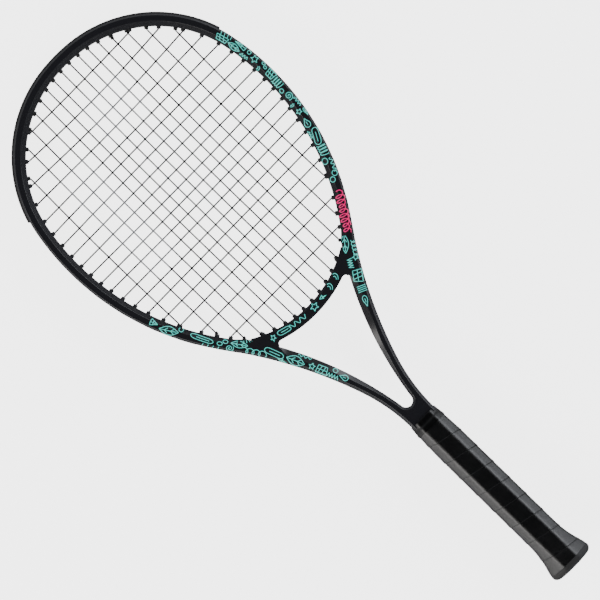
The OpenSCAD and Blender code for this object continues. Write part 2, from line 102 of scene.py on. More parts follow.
def turned(count: int, shift: float = 0.0) -> list[float]:
    """Gives evenly spaced angles of a full turn, in radians."""
    return [2 * math.pi * (k + shift) / count for k in range(count)]


def compass(degrees: float) -> Vector:
    """Gives the direction in the string plane at an angle from +X."""
    return Vector((math.cos(math.radians(degrees)), math.sin(math.radians(degrees))))


def enter(piece: bpy.types.Object, replaced: str = "", body: str = RACKET) -> bpy.types.Object:
    """Enters a piece in the shared frame.

    Args:
        piece: The object.
        replaced: The CAD node that it replaces, if any.
        body: The body that it rides.

    Returns:
        The same object.
    """
    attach(piece, body)
    if replaced:
        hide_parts(replaced)
    return piece


class Shell:
    """A bmesh that grows by extruding a ring from station to station."""

    def __init__(self) -> None:
        """Starts an empty mesh."""
        self.bm = bmesh.new()

    def sweep(self, rings: Sequence[Sequence[Vector]], caps: bool = True,
              marks: Sequence[Sequence[tuple[float, float]]] | None = None) -> None:
        """Extrudes a closed ring of vertices through a row of stations.

        Args:
            rings: The ring's points at each station, in millimetres.
            caps: Whether the first and the last ring are filled.
            marks: Places on the band for the UV map, one for each point of each ring.
        """
        bm = self.bm
        layer = bm.verts.layers.float_vector.new("band") if marks else None
        verts = [bm.verts.new(p * MM) for p in rings[0]]
        if marks:
            for vert, mark in zip(verts, marks[0]):
                vert[layer] = (*mark, 0.0)
        count = len(verts)
        edges = [bm.edges.new((verts[i], verts[(i + 1) % count])) for i in range(count)]
        if caps:
            bm.faces.new(verts)
        for index, ring in enumerate(rings[1:], start=1):
            grown = bmesh.ops.extrude_edge_only(bm, edges=edges)["geom"]
            new_edges = [g for g in grown if isinstance(g, bmesh.types.BMEdge)]
            new_set = {v for g in new_edges for v in g.verts} - set(verts)
            step: list[bmesh.types.BMVert] = []
            for vert in verts:
                ends = (edge.other_vert(vert) for edge in vert.link_edges)
                step.append(next(other for other in ends if other in new_set))
            for place, (vert, point) in enumerate(zip(step, ring)):
                vert.co = point * MM
                if marks:
                    vert[layer] = (*marks[index][place], 0.0)
            edges = [bm.edges.get((step[i], step[(i + 1) % count])) for i in range(count)]
            verts = step
        if caps:
            bm.faces.new(verts)

    def write_band_map(self) -> None:
        """Copies the places on the band into a UV map."""
        layer = self.bm.verts.layers.float_vector["band"]
        uv = self.bm.loops.layers.uv.new("band")
        for face in self.bm.faces:
            for loop in face.loops:
                loop[uv].uv = loop.vert[layer].xy

    def finish(self, name: str, finish: "Finish", merge: float = 1e-7,
               sharp: float = 35.0) -> bpy.types.Object:
        """Turns the bmesh into an object at the origin.

        Args:
            name: The piece's name.
            finish: The finish that dresses it.
            merge: Distance in metres under which vertices join.
            sharp: Angle in degrees above which an edge stays sharp.

        Returns:
            The new object.
        """
        bmesh.ops.remove_doubles(self.bm, verts=self.bm.verts, dist=merge)
        bmesh.ops.recalc_face_normals(self.bm, faces=self.bm.faces)
        mesh = bpy.data.meshes.new(name)
        self.bm.to_mesh(mesh)
        self.bm.free()
        for polygon in mesh.polygons:
            polygon.use_smooth = True
        mesh.set_sharp_from_angle(angle=math.radians(sharp))
        piece = bpy.data.objects.new(name, mesh)
        bpy.context.scene.collection.objects.link(piece)
        mesh.materials.append(finish.material())
        return piece


# ---------- finishes ----------


class Nodes:
    """A small wrapper that places and links shader nodes."""

    def __init__(self, tree: bpy.types.NodeTree) -> None:
        """Wraps a node tree."""
        self.tree = tree

    def add(self, kind: str, **settings: object) -> bpy.types.Node:
        """Adds a node and sets its properties and plain socket values.

        Args:
            kind: The node's type name.
            settings: Properties by name, or socket values by name.

        Returns:
            The node.
        """
        node = self.tree.nodes.new(kind)
        for key, value in settings.items():
            if hasattr(node, key):
                setattr(node, key, value)
            else:
                node.inputs[key.replace("_", " ")].default_value = value
        return node

    def link(self, source: bpy.types.NodeSocket, target: bpy.types.NodeSocket) -> None:
        """Links an output to an input."""
        self.tree.links.new(source, target)

    def feed(self, socket: SOCKET, value: object) -> None:
        """Links a source to a socket, or sets the socket to a plain value.

        Args:
            socket: The input.
            value: An output socket, a number or a colour.
        """
        if isinstance(value, SOCKET):
            self.link(value, socket)
        else:
            socket.default_value = value if isinstance(value, (int, float)) else (*value[:3], 1.0)

    def math(self, operation: str, first: object, second: object = 0.0) -> SOCKET:
        """Adds a Math node.

        Args:
            operation: The Math node's operation.
            first: A socket or a number.
            second: A socket or a number.

        Returns:
            The result's socket.
        """
        node = self.add("ShaderNodeMath", operation=operation)
        for socket, value in zip(node.inputs, (first, second)):
            self.feed(socket, value)
        return node.outputs[0]

    def mix(self, factor: object, first: object, second: object) -> SOCKET:
        """Mixes two colours.

        Args:
            factor: A socket or a number.
            first: A socket or a colour.
            second: A socket or a colour.

        Returns:
            The mixed colour's socket.
        """
        node = self.add("ShaderNodeMix", data_type="RGBA")
        for index, value in ((0, factor), (6, first), (7, second)):
            self.feed(node.inputs[index], value)
        return node.outputs[2]


def grain_group() -> bpy.types.NodeTree:
    """Builds the shared grain effect once, from fine specks and broad clouds.

    Returns:
        The node group, with inputs Fine and Broad and outputs Clouds and Height.
    """
    name = "moulded_grain"
    if name in bpy.data.node_groups:
        return bpy.data.node_groups[name]
    group = bpy.data.node_groups.new(name, "ShaderNodeTree")
    for label, value in (("Fine", 2500.0), ("Broad", 60.0)):
        socket = group.interface.new_socket(label, in_out="INPUT", socket_type="NodeSocketFloat")
        socket.default_value = value
    for label in ("Clouds", "Height"):
        group.interface.new_socket(label, in_out="OUTPUT", socket_type="NodeSocketFloat")
    n = Nodes(group)
    entry = n.add("NodeGroupInput")
    out = n.add("NodeGroupOutput")
    where = n.add("ShaderNodeTexCoord")
    fine = n.add("ShaderNodeTexNoise", Detail=2.0, Roughness=0.6)
    broad = n.add("ShaderNodeTexNoise", Detail=4.0, Roughness=0.55)
    for node, label in ((fine, "Fine"), (broad, "Broad")):
        n.link(where.outputs["Object"], node.inputs["Vector"])
        n.link(entry.outputs[label], node.inputs["Scale"])
    n.link(broad.outputs["Fac"], out.inputs["Clouds"])
    specks = n.math("MULTIPLY", fine.outputs["Fac"], 0.6)
    clouds = n.math("MULTIPLY", broad.outputs["Fac"], 0.4)
    n.link(n.math("ADD", specks, clouds), out.inputs["Height"])
    return group


@dataclass(frozen=True)
class Finish:
    """A surface finish with colour drift, grain and a gloss that varies a little."""

    name: str
    colour: tuple[float, float, float]
    second: tuple[float, float, float]
    rough: float = 0.4
    rough_drift: float = 0.12
    bump: float = 0.05
    bump_depth: float = 0.0002
    fine: float = 2500.0
    broad: float = 60.0
    coat: float = 0.0
    coat_rough: float = 0.2
    metallic: float = 0.0
    specular: float = 0.5
    # Emission of the finish itself: painted light that makes a surface glow although it is no lamp.
    glow: float = 0.0

    def material(self) -> bpy.types.Material:
        """Builds the material, or returns the one already built."""
        if self.name in bpy.data.materials:
            return bpy.data.materials[self.name]
        material = bpy.data.materials.new(self.name)
        material.use_nodes = True
        material.diffuse_color = (*self.colour, 1.0)
        n = Nodes(material.node_tree)
        shader = material.node_tree.nodes["Principled BSDF"]
        for key, value in (("Metallic", self.metallic), ("Specular IOR Level", self.specular),
                           ("Coat Weight", self.coat), ("Coat Roughness", self.coat_rough)):
            shader.inputs[key].default_value = value
        grain = n.add("ShaderNodeGroup", node_tree=grain_group(), Fine=self.fine, Broad=self.broad)
        colour, height = self.pattern(n, grain)
        n.link(colour, shader.inputs["Base Color"])
        # Painted light: the finish's own colour glows, so the surface looks brighter than the lamps make it.
        if self.glow:
            n.link(colour, shader.inputs["Emission Color"])
            shader.inputs["Emission Strength"].default_value = self.glow
        drift = n.math("MULTIPLY", n.math("SUBTRACT", grain.outputs["Clouds"], 0.5), self.rough_drift)
        n.link(n.math("ADD", drift, self.rough), shader.inputs["Roughness"])
        bump = n.add("ShaderNodeBump", Strength=self.bump, Distance=self.bump_depth)
        n.link(height, bump.inputs["Height"])
        n.link(bump.outputs["Normal"], shader.inputs["Normal"])
        return material

    def pattern(self, n: Nodes, grain: bpy.types.Node) -> tuple[SOCKET, SOCKET]:
        """Gives the colour and the height of the surface.

        Args:
            n: The material's nodes.
            grain: The placed grain group.

        Returns:
            The colour socket and the height socket.
        """
        return n.mix(grain.outputs["Clouds"], self.colour, self.second), grain.outputs["Height"]

    def dress(self, *names: str) -> None:
        """Gives CAD nodes this finish.

        Args:
            names: The nodes' names.
        """
        for name in names:
            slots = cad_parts[name].data.materials
            if not len(slots):
                slots.append(None)
            for i in range(len(slots)):
                slots[i] = self.material()


@dataclass(frozen=True)
class StringFinish(Finish):
    """Dark polyester with worn, paler stretches where two plain bars were stencilled on the strings."""

    pale: tuple[float, float, float] = (0.42, 0.43, 0.45)
    worn_strength: float = 1.5
    upper_bar: tuple[float, float, float, float] = (0.006, 0.610, 0.028, 0.024)
    side_bar: tuple[float, float, float, float] = (-0.065, 0.535, 0.019, 0.064)

    def bar(self, n: Nodes, where: Sequence[SOCKET], place: tuple[float, float, float, float]) -> SOCKET:
        """Masks a plain bar.

        Args:
            n: The material's nodes.
            where: The places across and along, in metres.
            place: The bar's middle and its half sizes.

        Returns:
            One inside the bar and zero outside.
        """
        across, along = (n.math("LESS_THAN", n.math("ABSOLUTE", n.math("SUBTRACT", socket, middle)), half)
                         for socket, middle, half in zip(where, place[:2], place[2:]))
        return n.math("MULTIPLY", across, along)

    def pattern(self, n: Nodes, grain: bpy.types.Node) -> tuple[SOCKET, SOCKET]:
        """Adds the faint stencilled bars to the plain grain.

        Args:
            n: The material's nodes.
            grain: The placed grain group.

        Returns:
            The colour socket and the height socket.
        """
        where = n.add("ShaderNodeTexCoord")
        split = n.add("ShaderNodeSeparateXYZ")
        n.link(where.outputs["Object"], split.inputs[0])
        places = split.outputs[:2]
        bars = n.math("MAXIMUM", self.bar(n, places, self.upper_bar), self.bar(n, places, self.side_bar))
        worn = n.math("MULTIPLY", grain.outputs["Clouds"], bars)
        base, height = super().pattern(n, grain)
        return n.mix(n.math("MULTIPLY", worn, self.worn_strength), base, self.pale), height


@dataclass(frozen=True)
class WrapFinish(Finish):
    """Embossed synthetic leather: rows of pin holes, darkened with painted shade, that follow the wrap, with
    creases between them.
    """

    hole_pitch: float = 3.0
    hole_size: float = 0.17
    # Painted shade in the pin holes: the dark colour, and how much of it covers each hole.
    painted_shade_colour: tuple[float, float, float] = (0.0006, 0.0006, 0.0006)
    painted_shade_share: float = 0.85
    hole_depth: float = 2.0
    crease_scale: float = 16.0
    crease_width: float = 0.035
    crease_depth: float = 0.35

    def pattern(self, n: Nodes, grain: bpy.types.Node) -> tuple[SOCKET, SOCKET]:
        """Adds pin holes with painted shade and pressed creases along the band's own UV map.

        Args:
            n: The material's nodes.
            grain: The placed grain group.

        Returns:
            The colour socket and the height socket.
        """
        uv = n.add("ShaderNodeUVMap", uv_map="band")
        split = n.add("ShaderNodeSeparateXYZ")
        n.link(uv.outputs[0], split.inputs[0])
        holes_per_unit = BAND_UNIT / self.hole_pitch
        row = n.math("MULTIPLY", split.outputs[1], holes_per_unit)
        shift = n.math("MULTIPLY", n.math("MODULO", n.math("FLOOR", row), 2.0), 0.5)
        column = n.math("ADD", n.math("MULTIPLY", split.outputs[0], holes_per_unit), shift)
        du, dv = (n.math("SUBTRACT", n.math("FRACT", place), 0.5) for place in (column, row))
        distance = n.math("SQRT", n.math("ADD", n.math("MULTIPLY", du, du), n.math("MULTIPLY", dv, dv)))
        hole = n.math("LESS_THAN", distance, self.hole_size)
        crease = n.add("ShaderNodeTexVoronoi", feature="DISTANCE_TO_EDGE", Scale=self.crease_scale)
        n.link(uv.outputs[0], crease.inputs["Vector"])
        line = n.math("LESS_THAN", crease.outputs["Distance"], self.crease_width)
        base, height = super().pattern(n, grain)
        # Painted shade: each pin hole is darkened as if shadowed inside.
        shaded_in_holes = n.mix(n.math("MULTIPLY", hole, self.painted_shade_share), base, self.painted_shade_colour)
        lower = n.math("ADD", n.math("MULTIPLY", hole, self.hole_depth),
                       n.math("MULTIPLY", line, self.crease_depth))
        return shaded_in_holes, n.math("SUBTRACT", height, lower)


LACQUER = Finish("frame_lacquer", (0.0010, 0.0010, 0.0013), (0.0022, 0.0022, 0.0027), rough=0.25, coat=0.3,
                 coat_rough=0.10, bump=0.03, fine=3500.0)
NYLON = Finish("grommet_nylon", (0.004, 0.004, 0.0045), (0.008, 0.008, 0.009), rough=0.5, bump=0.18,
               fine=4200.0)
GUARD = Finish("bumper_nylon", (0.0012, 0.0012, 0.0013), (0.0028, 0.0028, 0.003), rough=0.5, bump=0.25,
               fine=3800.0, specular=0.3)
STRING = StringFinish("string_polyester", (0.0015, 0.0015, 0.0018), (0.003, 0.003, 0.0035), rough=0.35,
                      broad=240.0)
GRIP = WrapFinish("grip_leather", (0.0014, 0.0014, 0.0016), (0.0034, 0.0034, 0.0036), rough=0.33, bump=0.22,
                  bump_depth=0.0004, broad=90.0, specular=0.8, coat=0.06, coat_rough=0.3)
TAPE = Finish("grip_tape", (0.0015, 0.0015, 0.0016), (0.003, 0.003, 0.003), rough=0.32, bump=0.12,
              broad=200.0)
CAP = Finish("cap_plastic", (0.0012, 0.0012, 0.0012), (0.0026, 0.0026, 0.0026), rough=0.36, bump=0.15,
             fine=4000.0)
FOAM = Finish("pallet_foam", (0.55, 0.46, 0.28), (0.66, 0.58, 0.40), rough=0.8, bump=0.5, fine=1500.0)
CLOTH = Finish("mounting_tape", (0.72, 0.70, 0.62), (0.82, 0.80, 0.74), rough=0.85, bump=0.5, fine=1800.0)
PLUG = Finish("plug_plastic", (0.52, 0.52, 0.48), (0.62, 0.62, 0.58), rough=0.5, bump=0.1)
STEEL = Finish("staple_steel", (0.55, 0.55, 0.57), (0.66, 0.66, 0.68), rough=0.28, metallic=1.0)
# Both inks glow a little: painted light that brightens the print beyond what the lamps give.
INK = Finish("turquoise_ink", (0.09, 0.72, 0.62), (0.12, 0.78, 0.68), rough=0.35, coat=0.2, glow=0.45)
PINK = Finish("pink_ink", (0.86, 0.015, 0.17), (0.92, 0.02, 0.21), rough=0.35, coat=0.2, glow=0.5)


# ---------- the moulded frame ----------


class Bend(Enum):
    """Which way a stretch of the outline turns."""

    ROUND = -1
    STRAIGHT = 0
    BACK = 1


@dataclass(frozen=True)
class Stretch:
    """One stretch of the frame's outer edge, from its upper end."""

    bend: Bend
    radius: float
    turn: float
    start: Vector
    heading: float

    @property
    def length(self) -> float:
        """Length of the stretch; a straight one states it as its turn."""
        return self.turn if self.bend is Bend.STRAIGHT else self.radius * math.radians(self.turn)

    def at(self, s: float) -> tuple[Vector, float]:
        """Gives a point of the stretch and the angle of the outward direction there.

        Args:
            s: Distance from the stretch's upper end.

        Returns:
            The point and the angle in degrees.
        """
        out = compass(self.heading)
        if self.bend is Bend.STRAIGHT:
            return self.start + Vector((out.y, -out.x)) * s, self.heading
        angle = self.heading + self.bend.value * math.degrees(s / self.radius)
        middle = self.start + out * self.radius * self.bend.value
        return middle - compass(angle) * self.radius * self.bend.value, angle


@dataclass
class Outline:
    """Plan of the right half of the frame: outer edge, throat opening and neck."""

    tip: float = 684.0
    plan: tuple[tuple[Bend, float, float], ...] = (
        (Bend.ROUND, 168.0, 6.0), (Bend.ROUND, 129.0, 73.4), (Bend.ROUND, 260.0, 45.4),
        (Bend.STRAIGHT, 0.0, 15.0), (Bend.BACK, 439.0, 16.6), (Bend.BACK, 181.5, 18.2),
        (Bend.STRAIGHT, 0.0, 3.0))
    tube: float = 11.2
    throat_middle: tuple[float, float] = (364.5, 168.0)
    throat_radius: float = 362.2
    vee_middle: tuple[float, float] = (0.0, 221.9)
    vee_radius: float = 6.4
    stretches: list[Stretch] = field(default_factory=list)

    def __post_init__(self) -> None:
        """Chains the stretches from the tip to the neck."""
        point, heading = Vector((0.0, self.tip)), 90.0
        for bend, radius, turn in self.plan:
            self.stretches.append(Stretch(bend, radius, turn, point, heading))
            point, heading = self.stretches[-1].at(self.stretches[-1].length)

    @property
    def length(self) -> float:
        """Length of the whole outer edge of one half."""
        return sum(stretch.length for stretch in self.stretches)

    def at(self, s: float) -> tuple[Vector, float]:
        """Gives a point of the outer edge and the outward angle there.

        Args:
            s: Distance from the tip along the edge.

        Returns:
            The point and the angle in degrees.
        """
        for stretch in self.stretches:
            if s <= stretch.length or stretch is self.stretches[-1]:
                return stretch.at(s)
            s -= stretch.length
        raise ValueError("no stretch")

    def s_at(self, y: float) -> float:
        """Finds how far along the edge a height lies, below the widest place.

        Args:
            y: Height above the butt end.

        Returns:
            Distance from the tip.
        """
        low, high = 0.0, self.length
        for _ in range(40):
            middle = (low + high) / 2
            low, high = (middle, high) if self.at(middle)[0].y > y else (low, middle)
        return low

    def opening(self, p: Vector) -> float:
        """Measures how far a point lies outside the throat opening.

        Args:
            p: The point, on the right half.

        Returns:
            The distance, negative inside the opening.
        """
        if p.y > self.vee_middle[1]:
            return self.throat_radius - (p - Vector(self.throat_middle)).length
        return (p - Vector(self.vee_middle)).length - self.vee_radius


@dataclass
class Moulding:
    """The hollow moulded hairpin: hoop, shafts and neck, swept as one piece."""

    outline: Outline
    hoop_end: float = 0.0
    groove_depth: float = 2.4
    groove_half: float = 4.6
    # Along the edge: where the hoop's constant section ends, and where the shaft's varied one is read
    hoop_only: float = 200.0
    shaft_only: float = 300.0
    # Heights: where the yoke's root starts and ends, and where the throat's rounded foot starts
    root: tuple[float, float, float, float] = (335.0, 343.0, 369.0, 375.0)
    foot: float = 226.0
    # Height, then half thickness, inner bevel, inner wall, outer bevel, outer wall
    shape: tuple[tuple[float, ...], ...] = (
        (200.0, 11.0, 1.9, 9.2, 2.6, 8.4),
        (235.0, 11.0, 2.4, 8.6, 2.8, 8.0),
        (268.0, 11.0, 4.0, 7.4, 2.9, 8.0),
        (298.0, 11.2, 6.4, 8.4, 3.0, 8.2),
        (335.0, 11.5, 5.6, 9.0, 2.6, 8.6),
        (378.0, 11.8, 4.4, 6.6, 2.0, 9.6),
        (420.0, 12.0, 4.1, 6.5, 1.8, 10.0))

    def __post_init__(self) -> None:
        """Finds where the hoop's tube passes into the shaft."""
        self.hoop_end = sum(stretch.length for stretch in self.outline.stretches[:4])

    def width(self, s: float) -> float:
        """Width of the band at a place, found by walking in from the outer edge.

        Args:
            s: Distance from the tip along the edge.

        Returns:
            Distance from the outer edge to the inner one.
        """
        if s < self.hoop_end - 6:
            return self.outline.tube
        point, angle = self.outline.at(s)
        inward = -compass(angle)

        def past(q: float) -> bool:
            """Whether a place lies beyond the axis or in the throat opening."""
            p = point + inward * q
            return p.x <= 0 or self.outline.opening(p) <= 0

        step, high = 0.2, 2.0
        while high < 22.0 and not past(high):
            high += step
        low = high - step
        for _ in range(20):
            middle = (low + high) / 2
            low, high = (low, middle) if past(middle) else (middle, high)
        blend = smooth(self.hoop_end - 6, self.hoop_end + 12, s)
        return self.outline.tube * (1 - blend) + high * blend

    def profile(self, s: float) -> dict[str, float]:
        """Sizes of the section at a place.

        Args:
            s: Distance from the tip along the edge.

        Returns:
            Sizes by name, in millimetres.
        """
        point, angle = self.outline.at(s)
        height = point.y if s > self.hoop_only else self.shape[-1][0]
        half, inner, inner_wall, outer, outer_wall = between(self.shape, height)
        wide = self.width(s)
        edge = point - compass(angle) * wide
        root = 0.0
        if s > self.shaft_only:
            root = smooth(*self.root[:2], edge.y) * (1 - smooth(*self.root[2:], edge.y))
        inner = inner * (1 - root) + 0.8 * root
        inner_wall = inner_wall * (1 - root) + (half - 0.5) * root
        edge_height, bevel_end = inner_wall, wide - inner
        if edge.y < self.foot:
            gap = self.outline.opening(edge)
            edge_height = inner_wall + (half - inner_wall) * min(1.0, max(0.0, gap / inner))
            q = wide
            while q > outer + 0.5 and self.outline.opening(point - compass(angle) * q) < inner - 1e-4:
                q -= 0.05
            bevel_end = min(q, wide)
        groove = self.groove_depth * (1 - smooth(self.hoop_end + 8, self.hoop_end + 10, s))
        return {"half": half, "wide": wide, "edge": edge_height, "bevel": bevel_end, "outer": outer,
                "wall": outer_wall, "groove": groove}

    def ring(self, s: float) -> list[Vector]:
        """Points of the section at a place.

        Args:
            s: Distance from the tip along the edge.

        Returns:
            The ring's points.
        """
        point, angle = self.outline.at(s)
        out = compass(angle)
        p = self.profile(s)
        upper = [(p["wide"], p["edge"]), (p["bevel"], p["half"]), (p["outer"], p["half"]), (0.0, p["wall"]),
                 (0.0, self.groove_half), (p["groove"], self.groove_half)]
        return [Vector((*(point - out * q), z)) for q, z in both_faces(upper)]

    def surface(self, s: float, q: float, lift: float) -> Vector:
        """Point on the front face.

        Args:
            s: Distance from the tip along the edge.
            q: Distance inwards from the outer edge.
            lift: Height above the surface.

        Returns:
            The point, on the right half.
        """
        point, angle = self.outline.at(s)
        p = self.profile(s)
        q = min(max(q, 0.25), p["wide"] - 0.25)
        if q < p["outer"]:
            z = p["wall"] + (p["half"] - p["wall"]) * q / p["outer"]
        elif q > p["bevel"]:
            z = p["half"] + (p["edge"] - p["half"]) * (q - p["bevel"]) / max(0.01, p["wide"] - p["bevel"])
        else:
            z = p["half"]
        return Vector((*(point - compass(angle) * q), z + lift))

    def build(self) -> bpy.types.Object:
        """Sweeps the right half, mirrors it and closes the neck's end."""
        places: list[float] = []
        s = 0.0
        while s < self.outline.length:
            places.append(s)
            y = self.outline.at(s)[0].y
            s += 0.7 if s > self.shaft_only and y < self.foot else 3.0
        places.append(self.outline.length)
        shell = Shell()
        shell.sweep([self.ring(place) for place in places], caps=False)
        bm = shell.bm
        for vert in bm.verts:
            if abs(vert.co.x) < 2e-5:
                vert.co.x = 0.0
        inside = [f for f in bm.faces if all(abs(v.co.x) < 1e-8 for v in f.verts)]
        bmesh.ops.delete(bm, geom=inside, context="FACES")
        bmesh.ops.mirror(bm, geom=bm.verts[:] + bm.edges[:] + bm.faces[:], matrix=Matrix.Identity(4),
                         merge_dist=1e-6, axis="X")
        bmesh.ops.holes_fill(bm, edges=[e for e in bm.edges if e.is_boundary], sides=0)
        piece = shell.finish("moulded_frame", LACQUER, merge=2e-6, sharp=24.0)
        soften(piece, 0.55)
        return enter(piece, "frame")


def soften(piece: bpy.types.Object, width: float, segments: int = 3, angle: float = 18.0) -> None:
    """Rounds a piece's edges with a Bevel modifier.

    Args:
        piece: The object.
        width: Width of the rounding in millimetres.
        segments: Steps across it.
        angle: Smallest angle in degrees between faces that is rounded.
    """
    modifier = piece.modifiers.new("soften", "BEVEL")
    modifier.width = width * MM
    modifier.segments = segments
    modifier.limit_method = "ANGLE"
    modifier.angle_limit = math.radians(angle)
    modifier.harden_normals = True
    modifier.use_clamp_overlap = True


@dataclass
class Bridge:
    """The moulded yoke that closes the hoop above the throat."""

    middle: tuple[float, float] = (0.0, 468.5)
    upper: float = 118.0
    lower: float = 129.0
    reach: float = 61.0
    web_middle: tuple[float, float] = (42.8, 342.9)
    web_radius: float = 3.5
    half: float = 10.5
    end_half: float = 11.55
    bevel: float = 2.0
    bevel_drop: float = 2.4
    lower_share: float = 0.7
    # Distances from the axis between which the yoke thickens, its bevels shrink and its groove ends
    swelling: tuple[float, float] = (18.0, 52.0)
    easing: tuple[float, float] = (34.0, 44.0)
    eased: float = 0.75
    groove_end: tuple[float, float] = (43.5, 46.5)
    groove_depth: float = 3.0
    groove_half: float = 4.0

    def top(self, x: float) -> float:
        """Height of the edge on the string side."""
        return self.middle[1] - math.sqrt(self.upper ** 2 - x * x)

    def bottom(self, x: float) -> float:
        """Gives the height of the edge on the throat side, with its round web at each end.

        Args:
            x: Distance from the axis.

        Returns:
            Height above the butt end.
        """
        x = abs(x)
        arc = self.middle[1] - math.sqrt(self.lower ** 2 - x * x)
        touch = self.web_middle[0] - 0.33 * self.web_radius
        if x <= touch:
            return arc
        if x >= self.web_middle[0] + self.web_radius:
            return min(arc, self.web_middle[1])
        across = (x - self.web_middle[0]) / self.web_radius
        return min(arc, self.web_middle[1] + self.web_radius * math.sqrt(max(0.0, 1 - across * across)))

    def thick(self, x: float) -> float:
        """Half thickness, which grows to the shafts'."""
        return self.half + (self.end_half - self.half) * smooth(*self.swelling, abs(x))

    def edges(self, x: float) -> tuple[float, float, float, float, float]:
        """Gives the section's main sizes at a place across.

        Args:
            x: Distance from the axis.

        Returns:
            The top, the bottom, the half thickness, the bevel and its drop.
        """
        ease = 1 - smooth(*self.easing, abs(x)) * self.eased
        return self.top(x), self.bottom(x), self.thick(x), self.bevel * ease, self.bevel_drop * ease

    def ring(self, x: float) -> list[Vector]:
        """Points of the section at a place across.

        Args:
            x: Distance from the axis.

        Returns:
            The ring's points.
        """
        top, bottom, half, bevel, drop = self.edges(x)
        depth = self.groove_depth * (1 - smooth(*self.groove_end, abs(x)))
        upper = [(top, half - drop), (top - bevel, half), (bottom + bevel * self.lower_share, half),
                 (bottom, half - drop * self.lower_share), (bottom, self.groove_half),
                 (bottom + depth, self.groove_half)]
        return [Vector((x, y, z)) for y, z in both_faces(upper)]

    def surface(self, x: float, y: float, lift: float) -> Vector:
        """Point on the front face.

        Args:
            x: Distance from the axis.
            y: Height above the butt end.
            lift: Height above the surface.

        Returns:
            The point.
        """
        top, bottom, half, bevel, drop = self.edges(x)
        y = min(max(y, bottom + 0.3), top - 0.3)
        upper_drop = drop * max(0.0, 1 - (top - y) / bevel)
        lower_drop = drop * self.lower_share * max(0.0, 1 - (y - bottom) / (bevel * self.lower_share))
        return Vector((x, y, half - upper_drop - lower_drop + lift))

    def build(self) -> bpy.types.Object:
        """Sweeps the yoke from shaft to shaft."""
        places = [-self.reach + i * 2.0 for i in range(int(self.reach) + 1)]
        fine = [self.web_middle[0] - 1.2 + i * 0.35 for i in range(14)]
        places = sorted(set(places) | set(fine) | {-x for x in fine})
        shell = Shell()
        shell.sweep([self.ring(x) for x in places])
        piece = shell.finish("moulded_yoke", LACQUER, sharp=24.0)
        soften(piece, 0.55)
        return enter(piece, "throat_bridge")


# ---------- strings ----------


@dataclass(frozen=True)
class Port:
    """Where a string leaves the hoop: the barrel's tip, the way out, and how far out its lane lies."""

    tip: Vector
    out: Vector
    depth: float

    @property
    def outside(self) -> Vector:
        """The point in the groove where the string turns."""
        return self.tip + self.out * self.depth

    def flipped(self) -> "Port":
        """The same port on the other side."""
        return Port(Vector((-self.tip.x, self.tip.y)), Vector((-self.out.x, self.out.y)), self.depth)


